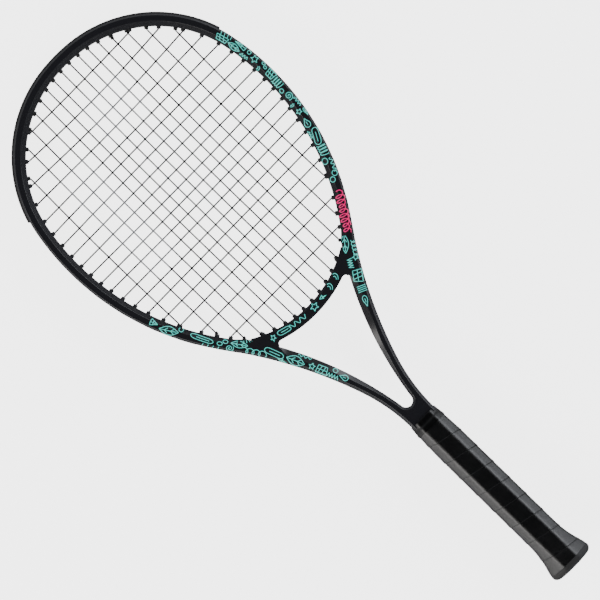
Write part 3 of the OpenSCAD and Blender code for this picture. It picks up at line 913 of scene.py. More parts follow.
@dataclass
class StringBed:
    """Both strings, woven over and under each other, with their runs in the outer groove."""

    outline: Outline
    diameter: float = 1.62
    mains: tuple[float, ...] = (5.5, 16.5, 27.3, 38.6, 50.8, 64.5, 79.5, 97.8)
    crosses: tuple[float, ...] = (651.5, 634.0, 616.0, 599.8, 583.3, 569.3, 555.6, 542.2, 529.3, 517.2, 504.8,
                                  493.2, 480.2, 467.2, 453.8, 439.2, 423.8, 405.7, 382.2)
    sag: tuple[float, ...] = (-0.7, -2.9, -3.0, -1.4, -0.1, 0.9, 0.7, 0.2, -0.3, -1.2, -0.8, -1.2, -0.5, -0.9,
                              -0.1, -0.2, 0.2, 0.1, -0.2)
    main_lean: float = -1.3
    lane: float = 0.7
    weave: float = 0.67
    tie_lane: float = 2.1
    tail: float = 6.5
    barrel: float = 2.5
    lane_depth: float = 13.25
    hoop_middle: float = 530.0
    bridge_middle: tuple[float, float] = (0.0, 468.5)
    bridge_tip: float = 115.5
    bridge_edge: float = 129.0
    bridge_lane: float = 128.0
    bridge_mains: int = 5
    fan: float = 7.3
    knot_radius: float = 0.62

    def port_where(self, test: Callable[[Vector], float]) -> Port:
        """Finds the hoop port whose barrel tip passes a test line.

        Args:
            test: Positive above the wanted place and negative below it.

        Returns:
            The port, on the right half.
        """
        inset = self.outline.tube + self.barrel
        low, high = 0.0, 425.0
        for _ in range(40):
            middle = (low + high) / 2
            point, angle = self.outline.at(middle)
            tip = point - compass(angle) * inset
            low, high = (middle, high) if test(tip) > 0 else (low, middle)
        point, angle = self.outline.at(low)
        return Port(point - compass(angle) * inset, compass(angle), self.lane_depth)

    def top_port(self, x: float) -> Port:
        """The upper port of a main."""
        return self.port_where(lambda tip: x - tip.x if tip.y > self.hoop_middle else -1.0)

    def low_port(self, index: int) -> Port:
        """Gives the lower port of a main, in the bridge for the middle ones.

        Args:
            index: Which main, counted from the axis.

        Returns:
            The port, on the right half.
        """
        x = self.mains[index]
        if index >= self.bridge_mains:
            return self.port_where(lambda tip: tip.x - x if tip.y < self.hoop_middle else 1.0)
        middle = Vector(self.bridge_middle)
        tip = Vector((x, middle.y - math.sqrt(self.bridge_tip ** 2 - x * x)))
        lean = self.fan if index == self.bridge_mains - 1 else 0.0
        exit_point = Vector((x - lean, middle.y - math.sqrt(self.bridge_edge ** 2 - (x - lean) ** 2)))
        out = (exit_point - tip).normalized()
        along = (tip - middle).dot(out)
        depth = math.sqrt(along ** 2 - (tip - middle).length_squared + self.bridge_lane ** 2) - along
        return Port(tip, out, depth)

    def side_port(self, y: float) -> Port:
        """The right port of a cross."""
        return self.port_where(lambda tip: tip.y - y)

    def groove_run(self, first: Port, second: Port, z: float) -> list[Vector]:
        """Follows the outer groove from one port to another.

        Args:
            first: The port the string comes from.
            second: The port it goes to.
            z: Height of the lane.

        Returns:
            Points between the two.
        """
        a, b = first.outside, second.outside
        gap = b - a
        tangents = []
        for port in (first, second):
            way = Vector((-port.out.y, port.out.x))
            tangents.append(way * gap.length * (1 if way.dot(gap) > 0 else -1))
        points = []
        for i in range(1, 8):
            t = i / 8
            p = (a * (2 * t ** 3 - 3 * t ** 2 + 1) + tangents[0] * (t ** 3 - 2 * t ** 2 + t)
                 + b * (3 * t ** 2 - 2 * t ** 3) + tangents[1] * (t ** 3 - t ** 2))
            points.append(Vector((p.x, p.y, z)))
        return points

    def span(self, start: Port, end: Port, bow: Vector, stops: Sequence[tuple[float, int]],
             z: float) -> list[Vector]:
        """Runs a string across the bed, over and under the strings it meets.

        Args:
            start: The port it comes in by.
            end: The port it goes out by.
            bow: How far its middle lies off the straight line.
            stops: Each meeting as a part of the span and +1 over or -1 under.
            z: Height of its lane in the barrels.

        Returns:
            The points of the span.
        """
        knots = [(0.0, z)] + [(t, side * self.weave) for t, side in sorted(stops)] + [(1.0, z)]
        length = (end.tip - start.tip).length
        points = []
        for (t0, z0), (t1, z1) in zip(knots, knots[1:]):
            steps = max(2, min(6, round((t1 - t0) * length / 2.6)))
            for k in range(steps):
                u = k / steps
                t = t0 + (t1 - t0) * u
                flat = start.tip.lerp(end.tip, t) + bow * math.sin(math.pi * t)
                rise = 0.5 - 0.5 * math.cos(math.pi * u)
                points.append(Vector((flat.x, flat.y, z0 + (z1 - z0) * rise)))
        points.append(Vector((end.tip.x, end.tip.y, z)))
        return points

    def tube(self, name: str, replaced: str, route: Sequence[Vector], radius: float, upright: Vector,
             shift: float = 0.0) -> bpy.types.Object:
        """Sweeps a round section along a route.

        Args:
            name: The piece's name.
            replaced: The CAD node that it replaces.
            route: Points of the centreline.
            radius: Radius of the section.
            upright: A direction that the route never takes.
            shift: Turn of the section, in sides.

        Returns:
            The string or the knot.
        """
        points = [p for i, p in enumerate(route) if i == 0 or (p - route[i - 1]).length > 0.05]
        rings = []
        for i, point in enumerate(points):
            along = (points[min(i + 1, len(points) - 1)] - points[max(i - 1, 0)]).normalized()
            across = along.cross(upright).normalized()
            up = across.cross(along)
            rings.append([point + (across * math.cos(a) + up * math.sin(a)) * radius
                          for a in turned(8, shift)])
        shell = Shell()
        shell.sweep(rings)
        return enter(shell.finish(name, STRING, sharp=80.0), replaced)

    def tail_of(self, port: Port, way: float, z: float) -> list[Vector]:
        """Gives the end of a string that comes back in through a port.

        Args:
            port: The port.
            way: +1 if the bed lies above the port, or -1 below it.
            z: Height of the lane.

        Returns:
            The last three points.
        """
        end = Vector((port.tip.x, port.tip.y + way * self.tail))
        return [Vector((*place, z)) for place in (port.outside, port.tip, end)]

    def main_route(self) -> list[Vector]:
        """Route of the string that makes the mains, from one tie-off to the other."""
        count = len(self.mains)
        tops = [self.top_port(x) for x in self.mains]
        lows = [self.low_port(i) for i in range(count)]
        tie = lows[self.bridge_mains]
        halves: list[list[Vector]] = []
        for side in (1, -1):
            half: list[Vector] = []
            bow = Vector((self.main_lean * side, 0.0))
            for i in range(count):
                start, end = (lows[i], tops[i]) if i % 2 == 0 else (tops[i], lows[i])
                column = count + i if side > 0 else count - 1 - i
                stops = []
                for j, y in enumerate(self.crosses):
                    part = (y - start.tip.y) / (end.tip.y - start.tip.y)
                    if 0.02 < part < 0.98:
                        stops.append((part, 1 if (column + j) % 2 == 0 else -1))
                half.append(Vector((*start.outside, self.lane)))
                half += self.span(start, end, bow, stops, self.lane)
                half.append(Vector((*end.outside, self.lane)))
                if i < count - 1:
                    half += self.groove_run(end, (tops if i % 2 == 0 else lows)[i + 1], self.lane)
            half += self.groove_run(end, tie, self.tie_lane)
            half += self.tail_of(tie, 1.0, self.tie_lane)
            halves.append([Vector((p.x * side, p.y, p.z)) for p in half])
        lowest = self.bridge_middle[1] - (lows[0].outside - Vector(self.bridge_middle)).length
        return halves[1][::-1] + [Vector((0.0, lowest, self.lane))] + halves[0]

    def cross_route(self) -> list[Vector]:
        """Route of the string that makes the crosses, from the top tie-off to the bottom one."""
        tie_top, tie_low = self.top_port(self.mains[4]), self.low_port(6).flipped()
        rights = [self.side_port(y) for y in self.crosses]
        route = self.tail_of(tie_top, -1.0, -self.lane)[::-1]
        route += self.groove_run(tie_top, rights[0], -self.lane)
        columns = [-x for x in reversed(self.mains)] + list(self.mains)
        for j, right in enumerate(rights):
            start, end = (right, right.flipped()) if j % 2 == 0 else (right.flipped(), right)
            stops = []
            for column, x in enumerate(columns):
                part = (x + self.main_lean - start.tip.x) / (end.tip.x - start.tip.x)
                if 0.015 < part < 0.985:
                    stops.append((part, -1 if (column + j) % 2 == 0 else 1))
            route.append(Vector((*start.outside, -self.lane)))
            route += self.span(start, end, Vector((0.0, self.sag[j])), stops, -self.lane)
            route.append(Vector((*end.outside, -self.lane)))
            if j < len(rights) - 1:
                follow = rights[j + 1].flipped() if j % 2 == 0 else rights[j + 1]
                route += self.groove_run(end, follow, -self.lane)
        return route + self.groove_run(end, tie_low, -self.lane) + self.tail_of(tie_low, 1.0, -self.lane)

    def knot(self, name: str, replaced: str, port: Port, way: float, z: float) -> bpy.types.Object:
        """Ties off a strand round its neighbour with two turns.

        Args:
            name: The piece's name.
            replaced: The CAD node that it replaces.
            port: The shared port.
            way: +1 if the bed lies above the port, or -1 below it.
            z: Height of the middle of the two strands.

        Returns:
            The knot.
        """
        middle = Vector((port.tip.x, port.tip.y + way * 1.2, z))
        points, steps, turns, height = [], 40, 2.0, 2.0
        for i in range(steps + 1):
            turn = i / steps * turns * 2 * math.pi
            rise = (i / steps - 0.5) * height
            points.append(middle + Vector((1.15 * math.cos(turn), rise, 1.55 * math.sin(turn))))
        return self.tube(name, replaced, points, self.knot_radius, Vector((0, 1, 0)))

    def collars(self) -> bpy.types.Object:
        """Makes the soft rims round the mouths of all the grommet barrels."""
        ports = [self.top_port(x) for x in self.mains] + [self.low_port(i) for i in range(len(self.mains))]
        ports += [self.side_port(y) for y in self.crosses]
        tall = Vector((0, 0, 1.12))
        shell = Shell()
        for port in ports:
            tied = any((port.tip - p.tip).length < 0.1 for p in (self.low_port(5), self.low_port(6)))
            for side in (1.0, -1.0):
                tip = Vector((port.tip.x * side, port.tip.y, 0.0))
                out = Vector((port.out.x * side, port.out.y, 0.0))
                wide = Vector((-out.y, out.x, 0.0))
                rings = []
                for along, radius in ((-0.25, 1.1), (-0.15, 1.7), (0.25, 2.0), (1.6, 2.1), (4.2, 2.3)):
                    middle = tip + out * along + Vector((0.0, 0.0, self.lane if tied else 0.0))
                    rings.append([middle + (wide * math.cos(a) + tall * math.sin(a)) * radius
                                  for a in turned(14)])
                shell.sweep(rings)
        return enter(shell.finish("barrel_rims", NYLON, sharp=50.0))

    def build(self) -> list[bpy.types.Object]:
        """Makes both strings, the four knots and the barrels' rims."""
        up, radius = Vector((0, 0, 1)), self.diameter / 2
        low, tie_low, tie_top = self.low_port(5), self.low_port(6).flipped(), self.top_port(self.mains[4])
        return [
            self.tube("woven_mains", "main_string", self.main_route(), radius, up, 0.5),
            self.tube("woven_crosses", "cross_string", self.cross_route(), radius, up, 0.5),
            self.knot("knot_main_right", "main_string_knots", low, 1.0, 1.4),
            self.knot("knot_main_left", "main_string_knots", low.flipped(), 1.0, 1.4),
            self.knot("knot_cross_top", "cross_string_knots", tie_top, -1.0, 0.0),
            self.knot("knot_cross_bottom", "cross_string_knots", tie_low, 1.0, 0.0),
            self.collars()]


# ---------- handle ----------


@dataclass
class Handle:
    """Octagonal handle: wound grip, finishing tape, and butt cap with its trap door."""

    stations: tuple[tuple[float, float, float], ...] = (
        (7.0, 46.4, 39.2), (11.0, 45.4, 38.2), (15.0, 42.6, 36.2), (20.0, 40.0, 34.6), (25.0, 37.9, 33.0),
        (31.0, 36.0, 31.4), (40.0, 34.8, 30.2), (165.0, 34.6, 30.2), (180.0, 33.6, 29.4), (190.0, 32.7, 28.4),
        (200.0, 31.4, 26.8))
    facet: float = 17.0
    corner: float = 2.2
    wrap: float = 1.3
    # Section of the wound band: place across it from its lower edge, and height above the handle
    band: tuple[tuple[float, float], ...] = (
        (0.0, 0.5), (-0.12, 0.85), (0.05, 1.18), (0.45, 1.3), (1.4, 1.24), (3.5, 1.1), (8.0, 1.05),
        (13.0, 1.03), (18.0, 1.0), (20.6, 0.9), (21.5, 0.62), (22.2, 0.4), (23.6, 0.3), (23.6, 0.06),
        (14.0, 0.03), (3.0, 0.03), (1.5, 0.3))
    # Sections of the finishing tape's outside and inside: height above the butt end, and above the handle
    tape_outside: tuple[tuple[float, float], ...] = (
        (188.2, 1.36), (188.25, 1.62), (190.4, 1.6), (191.2, 1.32), (193.8, 1.3), (193.95, 1.14),
        (197.0, 1.1), (199.9, 1.05), (200.1, 0.9), (200.1, 0.2))
    tape_inside: tuple[tuple[float, float], ...] = ((188.2, 1.3), (190.4, 1.25), (190.5, 0.15), (200.1, 0.2))
    # Rounded lip of the cap: height and how far in; then the way over the end face into the door's recess
    lip: tuple[tuple[float, float], ...] = (
        (7.0, 1.2), (6.9, 0.1), (5.2, 0.0), (3.9, 0.35), (2.7, 1.05), (1.6, 2.1), (0.8, 3.3), (0.3, 4.6),
        (0.0, 6.2))
    recess: tuple[tuple[float, float], ...] = (
        (0.55, 0.0), (0.9, 0.0), (1.0, 0.0), (1.0, 1.9), (0.86, 1.95), (0.86, 9.0))
    recess_half: tuple[float, float] = (12.0, 8.0)
    pitch: float = 21.6
    seam_at: float = 171.0
    bottom: float = 7.05
    top: float = 190.0

    def size(self, y: float) -> tuple[float, float]:
        """Reads the size of the grip's outside at a height.

        Args:
            y: Height above the butt end.

        Returns:
            The width and the thickness.
        """
        if y <= self.stations[0][0]:
            return self.stations[0][1], self.stations[0][2]
        for low, high in zip(self.stations, self.stations[1:]):
            if y <= high[0]:
                t = (y - low[0]) / (high[0] - low[0])
                return low[1] + (high[1] - low[1]) * t, low[2] + (high[2] - low[2]) * t
        return self.stations[-1][1], self.stations[-1][2]

    def loop(self, width: float, thick: float, facet: float, corner: float) -> list[Vector]:
        """Points round a soft-cornered octagon.

        Args:
            width: Size along X.
            thick: Size along Z.
            facet: Width of the front facet.
            corner: How far the rounding reaches from each corner.

        Returns:
            Points as (x, z), starting at the back's right corner.
        """
        chamfer = (width - facet) / 2
        x, z, f, side = width / 2, thick / 2, facet / 2, thick / 2 - chamfer * 0.98
        corners = [Vector(place) for place in ((f, -z), (x, -side), (x, side), (f, z),
                                               (-f, z), (-x, side), (-x, -side), (-f, -z))]
        points: list[Vector] = []
        for i, corner_point in enumerate(corners):
            before, after = corners[i - 1], corners[(i + 1) % 8]
            start = corner_point + (before - corner_point).normalized() * corner
            stop = corner_point + (after - corner_point).normalized() * corner
            for k in range(4):
                u = k / 3
                points.append(start * (1 - u) ** 2 + corner_point * 2 * u * (1 - u) + stop * u * u)
            follow = after + (corner_point - after).normalized() * corner
            points += [stop.lerp(follow, 1 / 3), stop.lerp(follow, 2 / 3)]
        return points

    def ring(self, y: float, lift: float) -> list[Vector]:
        """Ring round the handle at a height.

        Args:
            y: Height above the butt end.
            lift: Height above the wrap's inside.

        Returns:
            The ring's points.
        """
        width, thick = self.size(y)
        inset = self.wrap - lift
        loop = self.loop(width - 2 * inset, thick - 2 * inset, self.facet - inset * 0.8, self.corner)
        return [Vector((p.x, y, p.y)) for p in loop]

    def build_wrap(self) -> bpy.types.Object:
        """Winds the grip: one closed band whose lower edge lies on the turn before."""
        base = self.loop(34.6, 30.2, self.facet, self.corner)
        count = len(base)
        steps = [(base[(i + 1) % count] - base[i]).length for i in range(count)]
        total = sum(steps)
        parts = [sum(steps[:i]) / total for i in range(count)]
        front = min((i for i in range(count) if base[i].y > 0), key=lambda i: abs(base[i].x))
        rings, marks = [], []
        first = math.floor((self.bottom - self.seam_at) / self.pitch) - 2
        last = math.ceil((self.top - self.seam_at) / self.pitch) + 1
        for turn in range(first, last):
            for i in range(count):
                start = self.seam_at + self.pitch * (turn + parts[i] - parts[front])
                along = (turn - first + parts[i]) * total
                rings.append([self.ring(start + v, lift)[i] for v, lift in self.band])
                marks.append([(along / BAND_UNIT, v / BAND_UNIT) for v, _ in self.band])
        shell = Shell()
        shell.sweep(rings, marks=marks)
        bm = shell.bm
        for height, normal in ((self.bottom, (0.0, -1.0, 0.0)), (self.top, (0.0, 1.0, 0.0))):
            bmesh.ops.bisect_plane(bm, geom=bm.verts[:] + bm.edges[:] + bm.faces[:], dist=1e-7,
                                   plane_co=(0.0, height * MM, 0.0), plane_no=normal, clear_outer=True)
            bmesh.ops.holes_fill(bm, edges=[e for e in bm.edges if e.is_boundary], sides=0)
        shell.write_band_map()
        return enter(shell.finish("wound_grip", GRIP, sharp=55.0), "grip_wrap")

    def build_tape(self) -> bpy.types.Object:
        """Makes the finishing tape, two turns that step once round the handle's top."""
        shell = Shell()
        for section in (self.tape_outside, self.tape_inside):
            shell.sweep([self.ring(y, lift) for y, lift in section], caps=False)
        piece = shell.finish("finishing_tape_turns", TAPE, merge=1e-5, sharp=50.0)
        return enter(piece, "finishing_tape")

    def build_cap(self) -> bpy.types.Object:
        """Makes the butt cap: flare, rounded lip, and a recess for the door in its end face."""
        width, thick = self.stations[0][1:]
        facet = self.facet + 0.6
        rings = [self.ring(y, 0.0) for y in (28.0, 25.0, 20.0, 15.0, 11.0, 8.5)]
        for y, inset in self.lip:
            loop = self.loop(width - 2 * inset, thick - 2 * inset * 0.82, facet - inset * 0.7, 3.0)
            rings.append([Vector((p.x, y, p.y)) for p in loop])
        edge = rings[-1]
        for reach, depth in self.recess:
            ring = []
            for point in edge:
                share = min(half / max(1e-6, abs(size)) for half, size in zip(self.recess_half, point.xz))
                target = Vector((point.x * share, 0.0, point.z * share))
                blended = point.lerp(target, reach) if depth == 0.0 else target * reach
                ring.append(Vector((blended.x, depth, blended.z)))
            rings.append(ring)
        shell = Shell()
        shell.sweep(rings)
        piece = shell.finish("butt_cap_moulding", CAP, merge=1e-6, sharp=40.0)
        soften(piece, 0.25, 2, 30.0)
        return enter(piece, "butt_cap")

    def build_door(self) -> bpy.types.Object:
        """Makes the trap door: a rimmed plate with a sunk middle and an inner skirt."""
        low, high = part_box("butt_cap_door")
        middle = (Vector(low) + Vector(high)) / 2
        thick, rim, step, skirt = 1.7 * MM, 1.6 * MM, 0.4 * MM, 7.5 * MM
        shell = Shell()
        bm = shell.bm
        bmesh.ops.create_cube(bm, size=1.0)
        bmesh.ops.scale(bm, vec=Vector((high[0] - low[0], thick, high[2] - low[2])), verts=bm.verts)
        bmesh.ops.translate(bm, vec=Vector((middle[0], 0.9 * MM, middle[2])), verts=bm.verts)
        face = min(bm.faces, key=lambda f: f.calc_center_median().y)
        bmesh.ops.inset_region(bm, faces=[face], thickness=rim, depth=0.0)
        face = min((f for f in bm.faces if f.normal.y < -0.9 and len(f.verts) == 4),
                   key=lambda f: (f.calc_center_median() - middle).xz.length)
        bmesh.ops.inset_region(bm, faces=[face], thickness=step, depth=-0.6 * MM)
        back = max(bm.faces, key=lambda f: f.calc_center_median().y)
        bmesh.ops.inset_region(bm, faces=[back], thickness=2.1 * MM, depth=0.0)
        out = bmesh.ops.extrude_face_region(bm, geom=[back])["geom"]
        corners = [v for v in out if isinstance(v, bmesh.types.BMVert)]
        bmesh.ops.translate(bm, vec=Vector((0.0, skirt, 0.0)), verts=corners)
        piece = shell.finish("trap_door_plate", CAP, sharp=30.0)
        soften(piece, 0.25, 2, 30.0)
        return enter(piece, "butt_cap_door", DOOR)

    def build(self) -> list[bpy.types.Object]:
        """Makes everything on the handle."""
        return [self.build_wrap(), self.build_tape(), self.build_cap(), self.build_door()]


# ---------- printed marks ----------


class Motif(Enum):
    """The plain drawings that decorate the frame."""

    STAR = "star"
    RING = "ring"
    PAIR = "pair"
    WAVE = "wave"
    ZIGZAG = "zigzag"
    LEAF = "leaf"
    FAN = "fan"
    CLIP = "clip"
    ARCH = "arch"
    BOLT = "bolt"
    DROP = "drop"
    LATTICE = "lattice"
    STRIPES = "stripes"
    LOOPS = "loops"
    SPIRAL = "spiral"


Stroke = list[tuple[float, float]]


def circle(x: float, y: float, radius: float, start: float = 0.0, stop: float = 360.0,
           steps: int = 12) -> Stroke:
    """Points on a circle or an arc.

    Args:
        x: Middle, along the band.
        y: Middle, across the band.
        radius: Its radius.
        start: First angle in degrees.
        stop: Last angle in degrees.
        steps: Number of chords.

    Returns:
        The stroke.
    """
    angles = [math.radians(start + (stop - start) * i / steps) for i in range(steps + 1)]
    return [(x + radius * math.cos(a), y + radius * math.sin(a)) for a in angles]


def strokes(motif: Motif) -> list[Stroke]:
    """Draws a motif in a square from -1 to 1.

    Args:
        motif: Which drawing.

    Returns:
        Its strokes.
    """
    if motif is Motif.STAR:
        tips = [((1.0 if i % 2 == 0 else 0.45), math.radians(90 + 36 * i)) for i in range(11)]
        return [[(r * math.cos(a), r * math.sin(a)) for r, a in tips]]
    if motif is Motif.RING:
        return [circle(0, 0, 0.9)]
    if motif is Motif.PAIR:
        return [circle(-0.5, -0.35, 0.5), circle(0.5, 0.4, 0.48)]
    if motif is Motif.WAVE:
        return [[(-1 + i / 16, 0.75 * math.sin(i * 0.62)) for i in range(33)]]
    if motif is Motif.ZIGZAG:
        return [[(-1 + i * 0.25, 0.8 if i % 2 else -0.8) for i in range(9)]]
    if motif is Motif.LEAF:
        bow = [(-1 + i / 6, 0.9 * math.sin(math.pi * i / 12)) for i in range(13)]
        sides = [bow, [(x, -y) for x, y in bow]]
        veins = [[(x - 0.1, 0.0), (x + 0.22, side * 0.55)] for x in (-0.35, 0.3) for side in (1, -1)]
        return sides + [[(-1.0, 0.0), (0.8, 0.0)]] + veins
    if motif is Motif.FAN:
        rays = [[(-0.9, 0.0), (0.9, y)] for y in (-0.9, 0.0, 0.9)]
        return rays + [[(0.9, -0.9), (1.0, 0.0), (0.9, 0.9)], [(0.2, -0.55), (0.3, 0.0), (0.2, 0.55)]]
    if motif is Motif.CLIP:
        long = circle(0.6, 0, 0.4, -90, 90, 6) + circle(-0.6, 0, 0.4, 90, 270, 6) + [(0.6, -0.4)]
        return [[(x, y * 1.9) for x, y in long], [(-0.5, 0.0), (0.65, 0.0)]]
    if motif is Motif.ARCH:
        return [circle(-0.3, 0, 0.9, -75, 75, 8), circle(-0.5, 0, 0.5, -75, 75, 6)]
    if motif is Motif.BOLT:
        return [[(-1, 0.3), (0.1, 0.6), (-0.1, -0.1), (1.0, -0.5), (-0.2, 0.1), (0.0, -0.5), (-1, 0.3)]]
    if motif is Motif.DROP:
        return [[(1.0, 0.0)] + circle(-0.25, 0, 0.65, 40, 320, 9) + [(1.0, 0.0)], [(-0.4, 0.0), (0.3, 0.0)]]
    if motif is Motif.LATTICE:
        outline = [[(-1, -0.8), (1, -0.8), (0.8, 0.8), (-0.8, 0.8), (-1, -0.8)]]
        slants = [[(x, -0.8), (x + 0.4, 0.8)] for x in (-0.55, 0.1)]
        return outline + slants + [[(-0.9, 0.0), (0.9, 0.0)]]
    if motif is Motif.STRIPES:
        return [[(x, -0.85), (x + 0.12, 0.85)] for x in (-0.95, -0.35, 0.25, 0.85)]
    if motif is Motif.LOOPS:
        return [[(-0.95 + 1.9 * i / 60 + 0.2 * math.sin(i * 0.37), 0.8 * math.cos(i * 0.37))
                 for i in range(61)]]
    turns = [(i / 24 * 0.9, i / 24 * 4.2 * math.pi) for i in range(25)]
    return [[(r * math.cos(a), r * math.sin(a)) for r, a in turns]]


@dataclass(frozen=True)
class Mark:
    """One drawing, sized in millimetres; part is 0 at the outer edge and 1 at the inner one."""

    motif: Motif
    y: float
    part: float
    length: float
    breadth: float
    tilt: float = 0.0


@dataclass
class Drawings:
    """Printed marks on both faces of the frame, laid on as thin closed ribbons."""

    moulding: Moulding
    bridge: Bridge
    line: float = 0.72
    lift: float = 0.13
    root: float = -0.3
    right: tuple[Mark, ...] = (
        Mark(Motif.LATTICE, 586, 0.62, 13, 6), Mark(Motif.STRIPES, 584, 0.2, 12, 4),
        Mark(Motif.LEAF, 572, 0.66, 14, 6, 4), Mark(Motif.FAN, 568, 0.2, 13, 6),
        Mark(Motif.WAVE, 559, 0.78, 9, 3.5), Mark(Motif.RING, 557, 0.25, 4, 4),
        Mark(Motif.STAR, 549, 0.4, 8, 8), Mark(Motif.ARCH, 541, 0.8, 6, 5),
        Mark(Motif.PAIR, 538, 0.25, 7, 5), Mark(Motif.LATTICE, 528, 0.4, 9, 9),
        Mark(Motif.LOOPS, 518, 0.5, 10, 9), Mark(Motif.RING, 509, 0.7, 5, 4),
        Mark(Motif.SPIRAL, 501, 0.5, 10, 9), Mark(Motif.WAVE, 492, 0.2, 10, 3.5),
        Mark(Motif.ARCH, 492, 0.78, 5, 5), Mark(Motif.STAR, 483, 0.62, 6, 6),
        Mark(Motif.DROP, 480, 0.15, 8, 4), Mark(Motif.DROP, 470, 0.6, 10, 9, 180),
        Mark(Motif.CLIP, 455, 0.45, 17, 8, 12), Mark(Motif.WAVE, 459, 0.88, 8, 3),
        Mark(Motif.LOOPS, 441.5, 0.5, 11, 10), Mark(Motif.RING, 431, 0.75, 7, 6),
        Mark(Motif.WAVE, 426, 0.22, 14, 4), Mark(Motif.PAIR, 416, 0.5, 11, 10),
        Mark(Motif.LEAF, 361, 0.78, 18, 8, 6), Mark(Motif.LOOPS, 357, 0.2, 14, 4.5),
        Mark(Motif.STAR, 349, 0.25, 6.5, 6.5), Mark(Motif.ZIGZAG, 345, 0.72, 9, 6),
        Mark(Motif.LATTICE, 334, 0.45, 12, 11, 8), Mark(Motif.STRIPES, 323, 0.45, 6, 10),
        Mark(Motif.DROP, 312.5, 0.5, 11, 7))
    left: tuple[Mark, ...] = (
        Mark(Motif.FAN, 440.5, 0.55, 8, 7, 180), Mark(Motif.LEAF, 426, 0.42, 19, 9, 8),
        Mark(Motif.RING, 416, 0.85, 5, 4.5), Mark(Motif.CLIP, 397, 0.6, 23, 5.5, -6),
        Mark(Motif.STRIPES, 389, 0.12, 17, 3), Mark(Motif.PAIR, 380, 0.6, 10, 7),
        Mark(Motif.SPIRAL, 374, 0.25, 9, 8), Mark(Motif.LEAF, 367, 0.62, 16, 7),
        Mark(Motif.LOOPS, 354, 0.26, 22, 6), Mark(Motif.STRIPES, 361, 0.92, 9, 3.5, 30),
        Mark(Motif.CLIP, 339, 0.5, 19, 7, -10), Mark(Motif.BOLT, 331, 0.14, 9, 5),
        Mark(Motif.LEAF, 320.5, 0.4, 18, 10, -5), Mark(Motif.WAVE, 314, 0.88, 13, 2.4),
        Mark(Motif.STAR, 306, 0.4, 6.5, 6.5), Mark(Motif.LATTICE, 297, 0.42, 11, 9),
        Mark(Motif.ZIGZAG, 286.5, 0.28, 11, 5), Mark(Motif.RING, 286, 0.78, 5, 4.5),
        Mark(Motif.DROP, 277, 0.55, 9, 8, 180))
    middle: tuple[tuple[Motif, float, float, float], ...] = (
        (Motif.STAR, -45.0, 6.0, 6.0), (Motif.CLIP, -33.0, 13.0, 6.5), (Motif.WAVE, -18.0, 19.0, 5.5),
        (Motif.STAR, 3.0, 9.0, 8.0), (Motif.BOLT, 15.0, 7.0, 6.5), (Motif.ARCH, 26.5, 8.0, 8.0),
        (Motif.ARCH, 37.0, 8.0, 8.0))

    def ribbon(self, shell: Shell, places: Sequence[tuple[float, float]], where: Place, line: float) -> None:
        """Lays one stroke on a surface as a thin closed strip.

        Args:
            shell: The mesh that takes it.
            places: Points of the stroke on the surface's own two axes.
            where: Gives the point in space from the two axes and a height.
            line: Width of the line.
        """
        fine: list[Vector] = []
        for a, b in zip(places, places[1:]):
            first, second = Vector(a), Vector(b)
            steps = max(1, math.ceil((second - first).length / 1.0))
            fine += [first.lerp(second, i / steps) for i in range(steps)]
        fine.append(Vector(places[-1]))
        rings = []
        for i, point in enumerate(fine):
            way = fine[min(i + 1, len(fine) - 1)] - fine[max(i - 1, 0)]
            if way.length < 1e-6:
                continue
            side = Vector((-way.y, way.x)).normalized() * line / 2
            a, b = point + side, point - side
            rings.append([where(a.x, a.y, self.lift), where(b.x, b.y, self.lift), where(b.x, b.y, self.root),
                          where(a.x, a.y, self.root)])
        if len(rings) > 1:
            shell.sweep(rings)

    def band_place(self, side: float, face: float) -> Place:
        """Gives the function that places a point on the hoop or a shaft.

        Args:
            side: +1 on the right or -1 on the left.
            face: +1 on the front or -1 on the back.

        Returns:
            A function of the distances along and in from the outer edge, and the height.
        """
        def where(s: float, q: float, lift: float) -> Vector:
            """Point in space on this side and face."""
            p = self.moulding.surface(s, q, lift)
            return Vector((p.x * side, p.y, p.z * face))

        return where

    def on_band(self, shell: Shell, mark: Mark, side: float, face: float) -> None:
        """Draws one mark on the hoop or a shaft.

        Args:
            shell: The mesh that takes it.
            mark: The drawing and its place.
            side: +1 on the right or -1 on the left.
            face: +1 on the front or -1 on the back.
        """
        s0 = self.moulding.outline.s_at(mark.y)
        wide = self.moulding.profile(s0)["wide"]
        turn = math.radians(mark.tilt)
        where = self.band_place(side, face)
        for stroke in strokes(mark.motif):
            places = []
            for u, v in stroke:
                a, b = u * mark.length / 2, v * mark.breadth / 2
                places.append((s0 + a * math.cos(turn) - b * math.sin(turn),
                               mark.part * wide + a * math.sin(turn) + b * math.cos(turn)))
            self.ribbon(shell, places, where, self.line)

    def on_bridge(self, shell: Shell, motif: Motif, x: float, length: float, breadth: float,
                  face: float) -> None:
        """Draws one mark on the yoke.

        Args:
            shell: The mesh that takes it.
            motif: The drawing.
            x: Its place across.
            length: Its size along the yoke.
            breadth: Its size across the yoke.
            face: +1 on the front or -1 on the back.
        """
        def where(a: float, b: float, lift: float) -> Vector:
            """Point in space on this face."""
            middle = (self.bridge.top(a) + self.bridge.bottom(a)) / 2
            p = self.bridge.surface(a, middle + b, lift)
            return Vector((p.x, p.y, p.z * face))

        for stroke in strokes(motif):
            places = [(x + u * length / 2, 0.6 + v * breadth / 2) for u, v in stroke]
            self.ribbon(shell, places, where, self.line)

